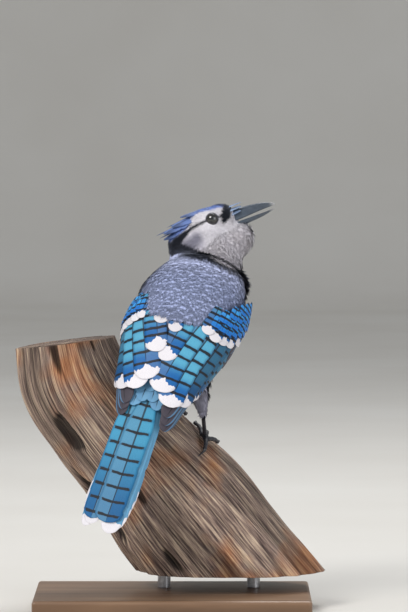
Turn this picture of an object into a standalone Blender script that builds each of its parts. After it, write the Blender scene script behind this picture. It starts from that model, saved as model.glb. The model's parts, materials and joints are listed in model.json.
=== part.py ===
"""A blue jay as a life-size display model, looking up to its right on a short
cut length of driftwood limb, which two short rods hold over a flat base.

All sizes below are in millimetres.  put_mesh() turns them into metres.
+Z is up.  The bird is seen from behind when looking along +Y.
"""
import math

import bmesh
import bpy
import numpy as np
from mathutils import Vector

for startup_object in list(bpy.data.objects):
    bpy.data.objects.remove(startup_object, do_unlink=True)

MM = 0.001
GAP = 0.3                      # clear space between two neighbouring nodes

# Pose of the trunk
TRUNK_HEADING = 26.5           # degrees to the right of +Y
TRUNK_PITCH = 54.0             # degrees above level
TRUNK_BANK = 17.1              # degrees about the trunk, right side down
TAIL_BASE = np.array((-19.1, -21.3, 154.6))

# Pose of the head: in profile, bill raised
BILL_RISE = 23.5               # degrees above level
HEAD_PLACE = np.array((15.2, 36.0, 268.3))   # middle of the head between the eyes

# Trunk: place along it, half width, rise to the back, drop to the belly, and
# how far its middle swings to the right.  The mantle starts at place 42.
TRUNK_RINGS = (
    (0.0, 13.0, 10.5, 11.0, -3.0),
    (12.0, 19.5, 16.0, 20.0, -2.3),
    (25.0, 26.5, 21.0, 27.5, -1.5),
    (34.0, 30.0, 25.5, 31.0, -1.0),
    (42.0, 32.0, 33.5, 33.0, -0.5),
    (59.0, 35.5, 35.0, 35.5, 0.8),
    (72.0, 36.5, 35.0, 36.0, 2.0),
    (84.0, 33.5, 32.5, 33.5, 4.2),
    (97.0, 28.0, 27.5, 28.0, 6.0),
)

# Soft swellings of head and neck: centre and half sizes along the head's own
# axes (ahead, to its right, up)
HEAD_FORMS = (
    ("skull", (-7.0, 0.0, -3.0), (19.0, 14.0, 13.0)),
    ("forehead", (5.0, 0.0, -2.5), (12.5, 11.5, 11.3)),
    ("nape", (-20.0, 0.0, -9.0), (17.5, 14.5, 15.5)),
    ("cheeks", (-6.0, 0.0, -11.0), (16.0, 15.8, 11.5)),
    ("throat", (5.5, 0.0, -20.0), (18.5, 13.5, 14.0)),
)
NECK_PLACE = np.array((10.8, 33.0, 239.0))
NECK_HALF = (27.0, 23.5, 26.0)
BODY_VOXEL = 2.4
BODY_SMOOTHING = 8
BODY_DETAIL = 0.10              # share of the faces that is kept

# Wings lie on a guide surface round the trunk: place, half width, rise.  It
# runs in under the mantle, which covers the feather roots.
WING_GUIDE = (
    (-45.0, 18.0, 11.0),
    (-30.0, 22.0, 12.5),
    (-10.0, 26.0, 16.0),
    (10.0, 29.5, 20.0),
    (30.0, 34.0, 25.0),
    (42.0, 36.0, 27.8),
    (59.0, 36.5, 29.0),
    (74.0, 35.0, 29.5),
    (90.0, 32.0, 28.0),
)

TAIL_ROOT = np.array((-24.6, -27.4, 158.8))
TAIL_RUN = np.array((-0.297, -0.492, -0.818))

# Driftwood limb: centre line in the plane Y = LIMB_DEPTH, with its half width
LIMB_DEPTH = 35.0
LIMB_LINE = (
    (-93.0, 240.0, 31.0),
    (-90.3, 212.4, 32.5),
    (-85.5, 184.8, 34.0),
    (-77.2, 156.6, 39.0),
    (-58.5, 128.5, 40.5),
    (-36.2, 102.3, 43.5),
    (-7.2, 66.6, 51.0),
    (31.0, 19.3, 52.0),
    (70.0, -28.0, 52.0),
)
LIMB_TOP_CUT = ((-85.0, 0.0, 183.0), (-0.12, 0.0, 0.99))   # a point and the way up
LIMB_FOOT_CUT = 24.0

BASE_LENGTH = 190.0
BASE_DEPTH = 130.0
BASE_HEIGHT = 12.0
BASE_PLACE = (-12.0, 12.0)
ROD_WIDTH = 9.0
ROD_PLACES = ((-18.0, 35.0), (44.0, 35.0))


def unit(vector):
    vector = np.asarray(vector, float)
    return vector / np.linalg.norm(vector)


def trunk_axes():
    """Ahead, right and back (dorsal) of the trunk as unit vectors."""
    heading, pitch, bank = (math.radians(v) for v in (TRUNK_HEADING, TRUNK_PITCH, TRUNK_BANK))
    ahead = np.array((math.cos(pitch) * math.sin(heading),
                      math.cos(pitch) * math.cos(heading), math.sin(pitch)))
    level_right = np.array((math.cos(heading), -math.sin(heading), 0.0))
    level_back = np.cross(level_right, ahead)
    right = level_right * math.cos(bank) - level_back * math.sin(bank)
    return ahead, right, np.cross(right, ahead)


AHEAD, RIGHT, BACK = trunk_axes()
HEAD_AHEAD = np.array((math.cos(math.radians(BILL_RISE)), 0.0, math.sin(math.radians(BILL_RISE))))
HEAD_UP = np.array((-HEAD_AHEAD[2], 0.0, HEAD_AHEAD[0]))
HEAD_RIGHT = np.array((0.0, -1.0, 0.0))


def on_trunk(along, across=0.0, rise=0.0):
    """A point of the trunk's own frame: along it, to its right, to its back."""
    return TAIL_BASE + along * AHEAD + across * RIGHT + rise * BACK


def on_head(ahead, right=0.0, up=0.0):
    return HEAD_PLACE + ahead * HEAD_AHEAD + right * HEAD_RIGHT + up * HEAD_UP


def column(table, index, place):
    """Read one column of a table by place, along a smooth monotone curve."""
    places = [row[0] for row in table]
    values = [row[index] for row in table]
    return smooth_read(places, values, place)


def smooth_read(places, values, place):
    """Cubic Hermite reading of values at rising places, flat outside them."""
    count = len(places)
    if place <= places[0]:
        return values[0]
    if place >= places[-1]:
        return values[-1]
    slopes = []
    for i in range(count):
        before = max(i - 1, 0)
        after = min(i + 1, count - 1)
        slopes.append((values[after] - values[before]) / (places[after] - places[before]))
    for i in range(count - 1):
        if place <= places[i + 1]:
            span = places[i + 1] - places[i]
            t = (place - places[i]) / span
            start_weight = 2 * t ** 3 - 3 * t ** 2 + 1
            start_slope = (t ** 3 - 2 * t ** 2 + t) * span
            end_slope = (t ** 3 - t ** 2) * span
            return (start_weight * values[i] + (1 - start_weight) * values[i + 1]
                    + start_slope * slopes[i] + end_slope * slopes[i + 1])
    return values[-1]


def make_material(name, colour, roughness, metallic=0.0):
    material = bpy.data.materials.new(name)
    material.use_nodes = True
    shader = material.node_tree.nodes["Principled BSDF"]
    shader.inputs["Base Color"].default_value = (*colour, 1.0)
    shader.inputs["Roughness"].default_value = roughness
    shader.inputs["Metallic"].default_value = metallic
    material.diffuse_color = (*colour, 1.0)
    return material


MANTLE = make_material("mantle feathers", (0.20, 0.23, 0.41), 0.85)
PALE_DOWN = make_material("pale feathers", (0.60, 0.57, 0.65), 0.9)
CREST_BLUE = make_material("crest feathers", (0.21, 0.30, 0.60), 0.8)
WING_BLUE = make_material("wing feathers", (0.02, 0.27, 0.50), 0.6)
TAIL_BLUE = make_material("tail feathers", (0.03, 0.25, 0.45), 0.6)
HORN = make_material("bill horn", (0.05, 0.07, 0.10), 0.4)
SKIN_BLACK = make_material("leg scales", (0.02, 0.02, 0.03), 0.5)
EYE_BLACK = make_material("eye", (0.01, 0.008, 0.006), 0.1)
DRIFTWOOD = make_material("driftwood", (0.26, 0.19, 0.15), 0.9)
STAND_WOOD = make_material("stand board", (0.45, 0.40, 0.34), 0.6)
STAND_METAL = make_material("stand rod", (0.55, 0.55, 0.56), 0.35, 1.0)

model = bpy.data.collections.new("blue_jay")
bpy.context.scene.collection.children.link(model)
cutters = bpy.data.collections.new("cutters")
bpy.context.scene.collection.children.link(cutters)


def put_mesh(name, bm, material, collection=None):
    """Turn a bmesh in millimetres into an object in metres."""
    bmesh.ops.scale(bm, vec=(MM, MM, MM), verts=bm.verts)
    bmesh.ops.recalc_face_normals(bm, faces=bm.faces)
    mesh = bpy.data.meshes.new(name)
    bm.to_mesh(mesh)
    bm.free()
    if material:
        mesh.materials.append(material)
    obj = bpy.data.objects.new(name, mesh)
    (collection or model).objects.link(obj)
    if collection is cutters:
        obj.hide_render = True
        obj.display_type = "WIRE"
    return obj


def loft(bm, rings):
    """Skin a run of closed rings with the same number of points, ends capped."""
    rows = [[bm.verts.new(point) for point in ring] for ring in rings]
    count = len(rows[0])
    for row, after in zip(rows, rows[1:]):
        for i in range(count):
            j = (i + 1) % count
            bm.faces.new((row[i], row[j], after[j], after[i]))
    for row, flip in ((rows[0], True), (rows[-1], False)):
        middle = bm.verts.new(sum((v.co for v in row), Vector()) / count)
        for i in range(count):
            j = (i + 1) % count
            bm.faces.new((row[j], row[i], middle) if flip else (row[i], row[j], middle))


def swell(bm, centre, axes, halves, rounds=20, bands=12):
    """An ellipsoid from a sphere, stretched along three given axes."""
    made = bmesh.ops.create_uvsphere(bm, u_segments=rounds, v_segments=bands, radius=1.0)
    turn = np.array([axis * half for axis, half in zip(axes, halves)])
    for vert in made["verts"]:
        vert.co = Vector(centre + np.array(vert.co) @ turn)


def tube(bm, points, radii, sides=8):
    """A round limb along a path, ends capped."""
    points = [np.asarray(p, float) for p in points]
    across = None
    rings = []
    for i, point in enumerate(points):
        run = unit(points[min(i + 1, len(points) - 1)] - points[max(i - 1, 0)])
        if across is None:
            across = unit(np.cross(run, (0.31, 0.87, 0.38)))
        across = unit(across - run * np.dot(across, run))
        other = np.cross(run, across)
        rings.append([point + radii[i] * (math.cos(a) * across + math.sin(a) * other)
                      for a in (2 * math.pi * k / sides for k in range(sides))])
    loft(bm, rings)


def lay_vane(bm, spine, across, out, inner, outer, thick):
    """One closed feather vane: at each place along its spine, the widths to
    both sides of the shaft.  Both faces are split the same way."""
    rows = []
    for point, side, up, left, right in zip(spine, across, out, inner, outer):
        rise = up * thick / 2
        rows.append([bm.verts.new(p) for p in (
            point - side * left + rise, point + side * right + rise,
            point - side * left - rise, point + side * right - rise)])
    for a, b in zip(rows, rows[1:]):
        bm.faces.new((a[0], a[1], b[1]))
        bm.faces.new((a[0], b[1], b[0]))
        bm.faces.new((a[2], b[3], a[3]))
        bm.faces.new((a[2], b[2], b[3]))
        bm.faces.new((a[1], a[3], b[3], b[1]))
        bm.faces.new((a[0], b[0], b[2], a[2]))
    first, last = rows[0], rows[-1]
    bm.faces.new((first[0], first[2], first[3], first[1]))
    bm.faces.new((last[0], last[1], last[3], last[2]))


# Outline of a feather: place along it, share of its full width
FLIGHT_OUTLINE = ((0.0, 0.45), (0.35, 0.85), (0.68, 1.0), (0.93, 0.8), (1.0, 0.2))
ROUND_OUTLINE = ((0.0, 0.5), (0.6, 1.0), (0.9, 0.8), (1.0, 0.25))
LOCK_OUTLINE = ((0.0, 0.9), (0.55, 0.9), (1.0, 0.12))


def feather(name, path, inner, outer, outline, thick=0.55):
    """One vane as a closed solid.  path(t) gives its shaft's point, the way
    across it and the way up from it, for t from root 0 to tip 1."""
    bm = bmesh.new()
    spine, across, out, left, right = [], [], [], [], []
    for t, share in outline:
        point, side, up = path(t)
        spine.append(point)
        across.append(side)
        out.append(up)
        left.append(inner * share)
        right.append(outer * share)
    lay_vane(bm, spine, across, out, left, right, thick)
    return put_mesh(name, bm, None)


def evaluated_copy(obj):
    graph = bpy.context.evaluated_depsgraph_get()
    return bpy.data.meshes.new_from_object(obj.evaluated_get(graph), depsgraph=graph)


def bake_modifiers(obj):
    """Replace an object's mesh by its evaluated one and drop its modifiers."""
    bpy.context.view_layer.update()
    fresh = evaluated_copy(obj)
    old = obj.data
    obj.modifiers.clear()
    obj.data = fresh
    bpy.data.meshes.remove(old)
    return obj


def keep_largest(obj):
    """Keep only the largest closed surface of an object."""
    bm = bmesh.new()
    bm.from_mesh(obj.data)
    bmesh.ops.remove_doubles(bm, verts=bm.verts, dist=1e-7)
    unseen = set(bm.faces)
    shells = []
    while unseen:
        seed = unseen.pop()
        shell = [seed]
        stack = [seed]
        while stack:
            face = stack.pop()
            for edge in face.edges:
                for other in edge.link_faces:
                    if other in unseen:
                        unseen.discard(other)
                        shell.append(other)
                        stack.append(other)
        shells.append(shell)
    shells.sort(key=lambda faces: sum(f.calc_area() for f in faces))
    for shell in shells[:-1]:
        bmesh.ops.delete(bm, geom=shell, context="FACES")
    bmesh.ops.triangulate(bm, faces=bm.faces)
    bm.to_mesh(obj.data)
    bm.free()
    return obj


def join_solids(name, pieces, material, solver="EXACT"):
    """Fuse closed pieces into one body with one Boolean union."""
    group = bpy.data.collections.new(name + " pieces")
    bpy.context.scene.collection.children.link(group)
    body = pieces[0]
    for piece in pieces[1:]:
        for owner in list(piece.users_collection):
            owner.objects.unlink(piece)
        group.objects.link(piece)
    fuse = body.modifiers.new("fuse", "BOOLEAN")
    fuse.operation = "UNION"
    fuse.operand_type = "COLLECTION"
    fuse.collection = group
    fuse.solver = solver
    bake_modifiers(body)
    for piece in list(group.objects):
        bpy.data.objects.remove(piece, do_unlink=True)
    bpy.data.collections.remove(group)
    body.name = name
    body.data.materials.clear()
    body.data.materials.append(material)
    return keep_largest(body)


def cut_away(obj, cutter, solver="EXACT"):
    """Take one closed cutter out of a body."""
    cut = obj.modifiers.new("cut", "BOOLEAN")
    cut.operation = "DIFFERENCE"
    cut.object = cutter
    cut.solver = solver
    bake_modifiers(obj)
    return keep_largest(obj)


def puffed(obj, name, by):
    """A copy of a body grown outward, as a cutter that leaves a clear gap."""
    mesh = obj.data.copy()
    mesh.name = name
    bm = bmesh.new()
    bm.from_mesh(mesh)
    bm.normal_update()
    for vert in bm.verts:
        vert.co += vert.normal * by * MM * min(vert.calc_shell_factor(), 1.6)
    bm.to_mesh(mesh)
    bm.free()
    cutter = bpy.data.objects.new(name, mesh)
    cutters.objects.link(cutter)
    cutter.hide_render = True
    cutter.display_type = "WIRE"
    return cutter


def slice_off(obj, point, normal):
    """Remove what lies on the normal's side of a plane and close the cut."""
    bm = bmesh.new()
    bm.from_mesh(obj.data)
    geometry = bm.verts[:] + bm.edges[:] + bm.faces[:]
    made = bmesh.ops.bisect_plane(bm, geom=geometry, dist=1e-7,
                                  plane_co=Vector(point) * MM, plane_no=Vector(normal),
                                  clear_outer=True)
    rim = [e for e in made["geom_cut"] if isinstance(e, bmesh.types.BMEdge)]
    bmesh.ops.holes_fill(bm, edges=rim, sides=0)
    bmesh.ops.triangulate(bm, faces=bm.faces)
    bmesh.ops.recalc_face_normals(bm, faces=bm.faces)
    bm.to_mesh(obj.data)
    bm.free()
    return obj


def copy_of(obj, name, material):
    other = bpy.data.objects.new(name, obj.data.copy())
    model.objects.link(other)
    other.data.materials.clear()
    other.data.materials.append(material)
    return other


def trunk_ring(along, grow=0.0, sides=28):
    """One cross section of the trunk, from the middle of the back round its right."""
    half = column(TRUNK_RINGS, 1, along) + grow
    back = column(TRUNK_RINGS, 2, along) + grow
    belly = column(TRUNK_RINGS, 3, along) + grow
    shift = column(TRUNK_RINGS, 4, along)
    points = []
    for k in range(sides):
        turn = 2 * math.pi * k / sides
        rise = back if math.cos(turn) > 0 else belly
        points.append(on_trunk(along, shift + half * math.sin(turn), rise * math.cos(turn)))
    return points


def whole_body():
    """Trunk, neck and head as one soft form, before it is parted."""
    bm = bmesh.new()
    loft(bm, [trunk_ring(s) for s in np.linspace(0.0, 97.0, 16)])
    head_axes = (HEAD_AHEAD, HEAD_RIGHT, HEAD_UP)
    for _, place, halves in HEAD_FORMS:
        swell(bm, on_head(*place), head_axes, halves)
    swell(bm, NECK_PLACE, np.eye(3), NECK_HALF)
    body = put_mesh("whole body", bm, None)
    merge = body.modifiers.new("one surface", "REMESH")
    merge.mode = "VOXEL"
    merge.voxel_size = BODY_VOXEL * MM
    soften = body.modifiers.new("soften", "SMOOTH")
    soften.iterations = BODY_SMOOTHING
    soften.factor = 0.5
    fewer = body.modifiers.new("fewer faces", "DECIMATE")
    fewer.ratio = BODY_DETAIL
    return bake_modifiers(body)


# Wings
WING_CORE_TOP = ((36.0, 0.7), (46.0, 1.4), (56.0, 2.6), (66.0, 3.2), (74.0, 2.4))
WING_CORE_DEPTH = 3.4
WING_CORE_START = 37.0
WING_CORE_TURNS = (3.0, 100.0)
SIDES = (("left", -1.0), ("right", 1.0))
# How far each wing stands out at its side: place, extra half width
WING_SPREAD = {
    "left": ((-40.0, 2.2), (0.0, 1.7), (25.0, 0.9), (50.0, 0.3)),
    "right": ((-20.0, 0.0), (10.0, 1.6), (30.0, 3.0), (60.0, 4.0)),
}
WING_SHOULDER = {"left": 64.0, "right": 73.0}  # how far forward its shoulder shows


def on_wing(side_name, side, along, turn, lift=0.0):
    """A point of a wing: along the trunk, degrees round it from the middle of
    the back, and height over the guide surface."""
    spread = column(WING_SPREAD[side_name], 1, along)
    half = column(WING_GUIDE, 1, along) + lift
    rise = column(WING_GUIDE, 2, along) + lift
    angle = math.radians(turn)
    shift = column(TRUNK_RINGS, 4, along)
    across = shift + side * (half + spread * math.sin(angle)) * math.sin(angle)
    return on_trunk(along, across, rise * math.cos(angle))


def wing_front(side_name, turn):
    """How far forward the wing reaches: less under the mantle than at the side."""
    shoulder = WING_SHOULDER[side_name]
    return smooth_read((0.0, 40.0, 75.0, 110.0), (56.0, 58.0, shoulder, shoulder), turn)


def wing_core(bm, side_name, side):
    """The closed slab on the guide surface that carries the feather roots."""
    rows = 5
    columns = 8
    first, last = WING_CORE_TURNS
    rings = []
    for turn in (first + (last - first) * j / (columns - 1) for j in range(columns)):
        reach = wing_front(side_name, turn)
        places = [WING_CORE_START + (reach - WING_CORE_START) * i / (rows - 1) for i in range(rows)]
        over = [on_wing(side_name, side, along, turn, core_top(along)) for along in places]
        under = [on_wing(side_name, side, along, turn, -WING_CORE_DEPTH) for along in places]
        rings.append(over + under[::-1])
    loft(bm, rings)


def core_top(along):
    return smooth_read([p for p, _ in WING_CORE_TOP], [h for _, h in WING_CORE_TOP], along)


# Tiers of the wing: name, how many, roots and tips as (place, turn) read evenly
# from the inner feather to the outer one, widths inward and outward of the
# shaft, height at root and tip
WING_TIERS = {
    "left": (
        ("tertial", 3, ((50.0, 21.5), (50.0, 40.0), (50.0, 51.0)),
         ((15.0, 4.5), (-5.5, 11.0), (-12.5, 31.0)), (7.0, 8.2), (1.0, 1.3)),
        ("secondary", 4, ((50.0, 64.0), (50.0, 88.0)),
         ((-11.5, 50.0), (-8.0, 79.0)), (7.5, 6.5), (0.6, 0.5)),
        ("primary", 5, ((48.0, 74.0), (48.0, 94.0)),
         ((-25.0, 40.0), (-29.0, 70.0)), (4.8, 3.8), (-0.6, -2.6)),
        ("greater covert", 7, ((57.0, 14.0), (57.0, 90.0)),
         ((34.5, 13.0), (39.5, 27.0), (37.0, 43.0), (34.0, 62.0), (31.0, 86.0)), (5.2, 5.2), (1.5, 2.0)),
        ("median covert", 3, ((62.0, 62.0), (62.0, 88.0)),
         ((45.0, 60.0), (48.0, 88.0)), (4.8, 4.8), (2.4, 3.6)),
        ("wrist covert", 2, ((60.0, 92.0), (60.0, 98.0)),
         ((30.0, 92.0), (24.0, 99.0)), (3.6, 3.6), (1.0, 1.2)),
    ),
    "right": (
        ("tertial", 3, ((48.0, 14.5), (48.0, 33.5), (48.0, 48.5)),
         ((12.0, 4.5), (-11.0, 12.0), (-19.0, 30.0)), (7.0, 8.2), (1.0, 1.3)),
        ("secondary", 4, ((48.0, 62.0), (48.0, 88.0)),
         ((-15.0, 50.0), (-6.0, 78.0)), (7.5, 6.5), (0.5, 0.7)),
        ("primary", 5, ((46.0, 75.0), (46.0, 94.0)),
         ((-28.0, 46.0), (-36.0, 56.0), (-24.0, 72.0)), (4.8, 3.6), (-0.6, -2.6)),
        ("greater covert", 7, ((56.0, 10.0), (56.0, 88.0)),
         ((31.5, 7.0), (36.5, 30.0), (35.0, 46.0), (36.0, 62.0), (38.0, 86.0)), (5.2, 5.2), (1.5, 2.0)),
        ("median covert", 4, ((66.0, 52.0), (66.0, 88.0)),
         ((44.0, 48.0), (51.0, 88.0)), (4.6, 4.6), (2.4, 3.9)),
        ("lesser covert", 3, ((72.0, 72.0), (72.0, 92.0)),
         ((56.0, 68.0), (62.0, 90.0)), (4.2, 4.2), (1.2, 4.4)),
        ("wrist covert", 2, ((60.0, 92.0), (60.0, 98.0)),
         ((35.0, 91.0), (29.0, 98.0)), (3.6, 3.6), (1.0, 1.2)),
    ),
}
SHINGLE_STEP = 0.85            # height from one vane's face to the next one's
SHINGLE_SLOPE = 0.42           # steepest tilt of a vane


def read_row(row, share):
    """Place and turn at a share of the way along a tier."""
    shares = [k / (len(row) - 1) for k in range(len(row))]
    return [smooth_read(shares, [point[k] for point in row], share) for k in (0, 1)]


def wing_vane_place(side_name, side, tier, index, t):
    """Shaft point of a wing feather, index counted outward from the back, with
    its place, turn and height."""
    _, count, roots, tips, _, lifts = tier
    share = index / (count - 1)
    root_along, root_turn = read_row(roots, share)
    tip_along, tip_turn = read_row(tips, share)
    along = root_along + (tip_along - root_along) * t
    turn = root_turn + (tip_turn - root_turn) * t
    lift = lifts[0] + (lifts[1] - lifts[0]) * t
    return on_wing(side_name, side, along, turn, lift), along, turn, lift


def wing_vane_path(side_name, side, tier, index):
    """The path of one vane, tilted so that its outer edge rides over the next."""
    neighbour = index + 1 if index + 1 < tier[1] else index - 1

    def path(t):
        point, along, turn, lift = wing_vane_place(side_name, side, tier, index, t)
        beside = wing_vane_place(side_name, side, tier, neighbour, t)[0]
        further = on_wing(side_name, side, along - 1.0, turn, lift)
        outward = unit(on_wing(side_name, side, along, turn + 2.0, lift) - point)
        up = unit(np.cross(outward, further - point)) * side
        slope = min(SHINGLE_STEP / max(np.linalg.norm(beside - point), 1e-6), SHINGLE_SLOPE)
        across = unit(outward + slope * up)
        return point, across, unit(up - slope * outward)
    return path


def wing(side_name, side):
    """The folded wing: a core under the mantle and its tiers of vanes."""
    bm = bmesh.new()
    wing_core(bm, side_name, side)
    pieces = [put_mesh("wing core " + side_name, bm, WING_BLUE)]
    for tier in WING_TIERS[side_name]:
        name, count, _, _, (inner, outer), _ = tier
        outline = ROUND_OUTLINE if "covert" in name else FLIGHT_OUTLINE
        for index in range(count):
            pieces.append(feather("%s %d %s" % (name, index, side_name),
                                  wing_vane_path(side_name, side, tier, index), inner, outer, outline))
    body = join_solids("wing_" + side_name, pieces, WING_BLUE, "MANIFOLD")
    return cut_away(body, other_wing_room(side_name, side), "MANIFOLD")


def other_wing_room(side_name, side):
    """All that lies across the middle of the back, which is the other wing's."""
    bm = bmesh.new()
    rings = []
    for along in (-60.0, 0.0, 25.0, 50.0, 90.0):
        edge = column(TRUNK_RINGS, 4, along) + side * GAP / 2
        rings.append([on_trunk(along, edge - side * reach, rise)
                      for reach, rise in ((0.0, -20.0), (0.0, 60.0), (60.0, 60.0), (60.0, -20.0))])
    loft(bm, rings)
    return put_mesh("other_wing_room_" + side_name, bm, None, cutters)


def wing_pocket(side_name, side):
    """The room that a folded wing's root takes in the trunk."""
    bm = bmesh.new()
    turns = (WING_CORE_TURNS[0] - 2.5, WING_CORE_TURNS[1] + 1.5)
    rings = []
    for j in range(10):
        turn = turns[0] + (turns[1] - turns[0]) * j / 9
        reach = wing_front(side_name, turn) + 0.5
        places = [24.0 + (reach - 24.0) * i / 8 for i in range(9)]
        height = smooth_read((0.0, 42.0, 62.0, 110.0), (3.5, 3.7, 6.0, 6.0), turn)
        over = [on_wing(side_name, side, p, turn, height) for p in places]
        under = [on_wing(side_name, side, p, turn, -WING_CORE_DEPTH - 0.5) for p in places]
        rings.append(over + under[::-1])
    loft(bm, rings)
    return put_mesh("pocket_" + side_name, bm, None, cutters)


# Tail
TAIL_RUN = unit(TAIL_RUN)
TAIL_ACROSS = unit(RIGHT - TAIL_RUN * np.dot(RIGHT, TAIL_RUN))
TAIL_BACK = np.cross(TAIL_ACROSS, -TAIL_RUN)


def on_tail(run, across=0.0, rise=0.0):
    return TAIL_ROOT + run * TAIL_RUN + across * TAIL_ACROSS + rise * TAIL_BACK


# Rump and tail root: run, half width, rise above and below the shafts
TAIL_CORE = (
    (-9.0, 9.0, 1.2, 10.0),
    (0.0, 10.5, 1.9, 10.5),
    (8.0, 10.0, 1.3, 9.0),
    (16.0, 8.5, 0.4, 7.0),
    (22.0, 5.0, -0.5, 5.0),
)
# Tail feathers from the middle pair out: run and sideways place of the tip.  The
# right one of the middle pair lies on top, over the whole middle.
TAIL_FAN = {
    "left": ((109.0, -8.5), (113.0, -9.0), (115.0, -12.5), (107.0, -14.5), (102.0, -16.0), (98.0, -17.0)),
    "right": ((110.0, 0.0), (117.0, 3.5), (113.0, 6.5), (107.0, 8.5), (102.0, 10.0), (97.0, 11.0)),
}
TAIL_STEP = 0.85
TAIL_SLOPE = 0.13
# count, root run, tip run, half spread at root and tip, half width, rise at root and tip
TAIL_COVERTS = (
    ("upper tail covert", 5, -3.0, 27.0, 5.5, 8.5, 5.6, 1.0, 2.2),
    ("under tail covert", 3, 2.0, 40.0, 4.0, 7.0, 6.5, -7.0, -8.6),
)


def tail_pieces():
    bm = bmesh.new()
    rings = []
    for run, half, over, under in TAIL_CORE:
        rings.append([on_tail(run, half * math.sin(a), (over if math.cos(a) > 0 else under) * math.cos(a))
                      for a in (2 * math.pi * k / 14 for k in range(14))])
    loft(bm, rings)
    pieces = [put_mesh("tail core", bm, TAIL_BLUE)]
    for side_name, side in SIDES:
        for pair, (reach, end) in enumerate(TAIL_FAN[side_name]):
            middle = pair == 0
            layer = (0.0 if side > 0 else 1.0) if middle else pair + (1.0 if side > 0 else 1.37)
            start = side * (0.4 + 1.3 * pair)
            inner = 7.6 if middle else 6.8
            outer = 7.6 if middle else 3.4

            def path(t, start=start, end=end, layer=layer, reach=reach, side=side, middle=middle):
                root = 4.0 + 0.7 * layer
                run = root + (reach - root) * t
                spread = start + (end - start) * t ** 0.5
                slope = 0.0 if middle else TAIL_SLOPE
                rise = -TAIL_STEP * layer - slope * (abs(spread) - 3.0) * min(t * 3.0, 1.0)
                across = unit(side * TAIL_ACROSS - slope * TAIL_BACK)
                return on_tail(run, spread, rise), across, unit(TAIL_BACK + slope * side * TAIL_ACROSS)
            pieces.append(feather("rectrix %d %s" % (pair, side_name), path, inner, outer, FLIGHT_OUTLINE))
    for name, count, root, tip, spread_root, spread_tip, half, low, high in TAIL_COVERTS:
        for index in range(count):
            place = 2.0 * index / (count - 1) - 1.0
            over = 0.0 if index % 2 else math.copysign(0.85, high)

            def path(t, place=place, over=over, start=low + 0.13 * index):
                rise = start + (high + over - start) * min(t * 1.6, 1.0)
                return (on_tail(root + (tip - root) * t * (1.0 - 0.15 * place ** 2),
                                place * (spread_root + (spread_tip - spread_root) * t), rise),
                        TAIL_ACROSS, TAIL_BACK)
            pieces.append(feather("%s %d" % (name, index), path, half, half, ROUND_OUTLINE))
    return pieces


def tail(torso):
    body = join_solids("tail", tail_pieces(), TAIL_BLUE, "MANIFOLD")
    return cut_away(body, puffed(torso, "rump_room", GAP), "MANIFOLD")


def tail_room():
    """The room of the closed tail, which the wing tips stay clear of."""
    bm = bmesh.new()
    rings = []
    for run, half, over, under in ((-4.0, 10.0, 1.5, 11.0), (14.0, 14.0, 3.6, 9.5),
                                   (32.0, 15.0, 3.8, 10.5), (50.0, 17.0, 1.6, 10.5)):
        rings.append([on_tail(run, half * x, over if z > 0 else -under)
                      for x, z in ((-1, 1), (1, 1), (1, -1), (-1, -1))])
    loft(bm, rings)
    return put_mesh("tail_room", bm, None, cutters)


# Legs.  A foot grips the limb at a travel along it and a turn round it, from
# the top edge towards the viewer.
FOOT_PLACES = {"left": (141.0, 16.0), "right": (170.0, 19.0)}
HEEL_PLACES = {"left": (-26.7, 3.0, 150.8), "right": (9.0, -3.0, 135.0)}
THIGH_EXITS = {"left": (27.0, -15.0, -27.0), "right": (27.0, 15.0, -28.0)}
THIGH_ROOTS = {"left": (36.0, -13.0, -17.0), "right": (36.0, 13.0, -17.0)}
TOE_RADIUS = 1.7
PAD_RADIUS = 2.6
TARSUS_RADIUS = 1.45
# name, start sideways, end sideways, reach round the limb in mm, claw length
TOES = (
    ("inner", -2.0, -10.5, -14.0, 6.0),
    ("middle", 0.0, -1.0, -19.0, 7.0),
    ("outer", 2.0, 9.5, -15.0, 6.0),
    ("hind", 0.5, 6.5, 12.5, 8.5),
)

limb_travel = [0.0]
for first, second in zip(LIMB_LINE, LIMB_LINE[1:]):
    step = math.hypot(second[0] - first[0], second[1] - first[1])
    limb_travel.append(limb_travel[-1] + step)


def limb_frame(travel):
    """Centre, half width and picture-plane normal of the limb at a travel."""
    def centre(t):
        return np.array((smooth_read(limb_travel, [row[0] for row in LIMB_LINE], t), LIMB_DEPTH,
                         smooth_read(limb_travel, [row[1] for row in LIMB_LINE], t)))
    run = unit(centre(min(travel + 2.0, limb_travel[-1])) - centre(max(travel - 2.0, 0.0)))
    half = smooth_read(limb_travel, [row[2] for row in LIMB_LINE], travel)
    return centre(travel), half, np.array((-run[2], 0.0, run[0]))


def limb_swell(travel, angle):
    """Broad ridges and hollows of the weathered wood, as a share of its width."""
    twist = travel / 95.0
    return (1.0 + 0.045 * math.cos(2 * angle + 0.6 + twist) * math.sin(angle / 2) ** 2
            + 0.030 * math.cos(5 * angle - 2.0 * twist) * math.sin(angle / 2) ** 2)


def on_limb(travel, turn, lift=0.0):
    """A point on the limb: turn in degrees from its upper edge to the viewer."""
    centre, half, normal = limb_frame(travel)
    angle = math.radians(turn)
    reach = half * limb_swell(travel, angle) + lift
    return centre + reach * (math.cos(angle) * normal - math.sin(angle) * np.array((0.0, 1.0, 0.0)))


def limb():
    bm = bmesh.new()
    rings = []
    for travel in np.linspace(30.0, limb_travel[-1] - 6.0, 17):
        rings.append([on_limb(travel, 360.0 * k / 26) for k in range(26)])
    loft(bm, rings)
    perch = put_mesh("perch", bm, DRIFTWOOD)
    slice_off(perch, (0.0, 0.0, LIMB_FOOT_CUT), (0.0, 0.0, -1.0))
    slice_off(perch, *LIMB_TOP_CUT)
    return perch


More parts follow.
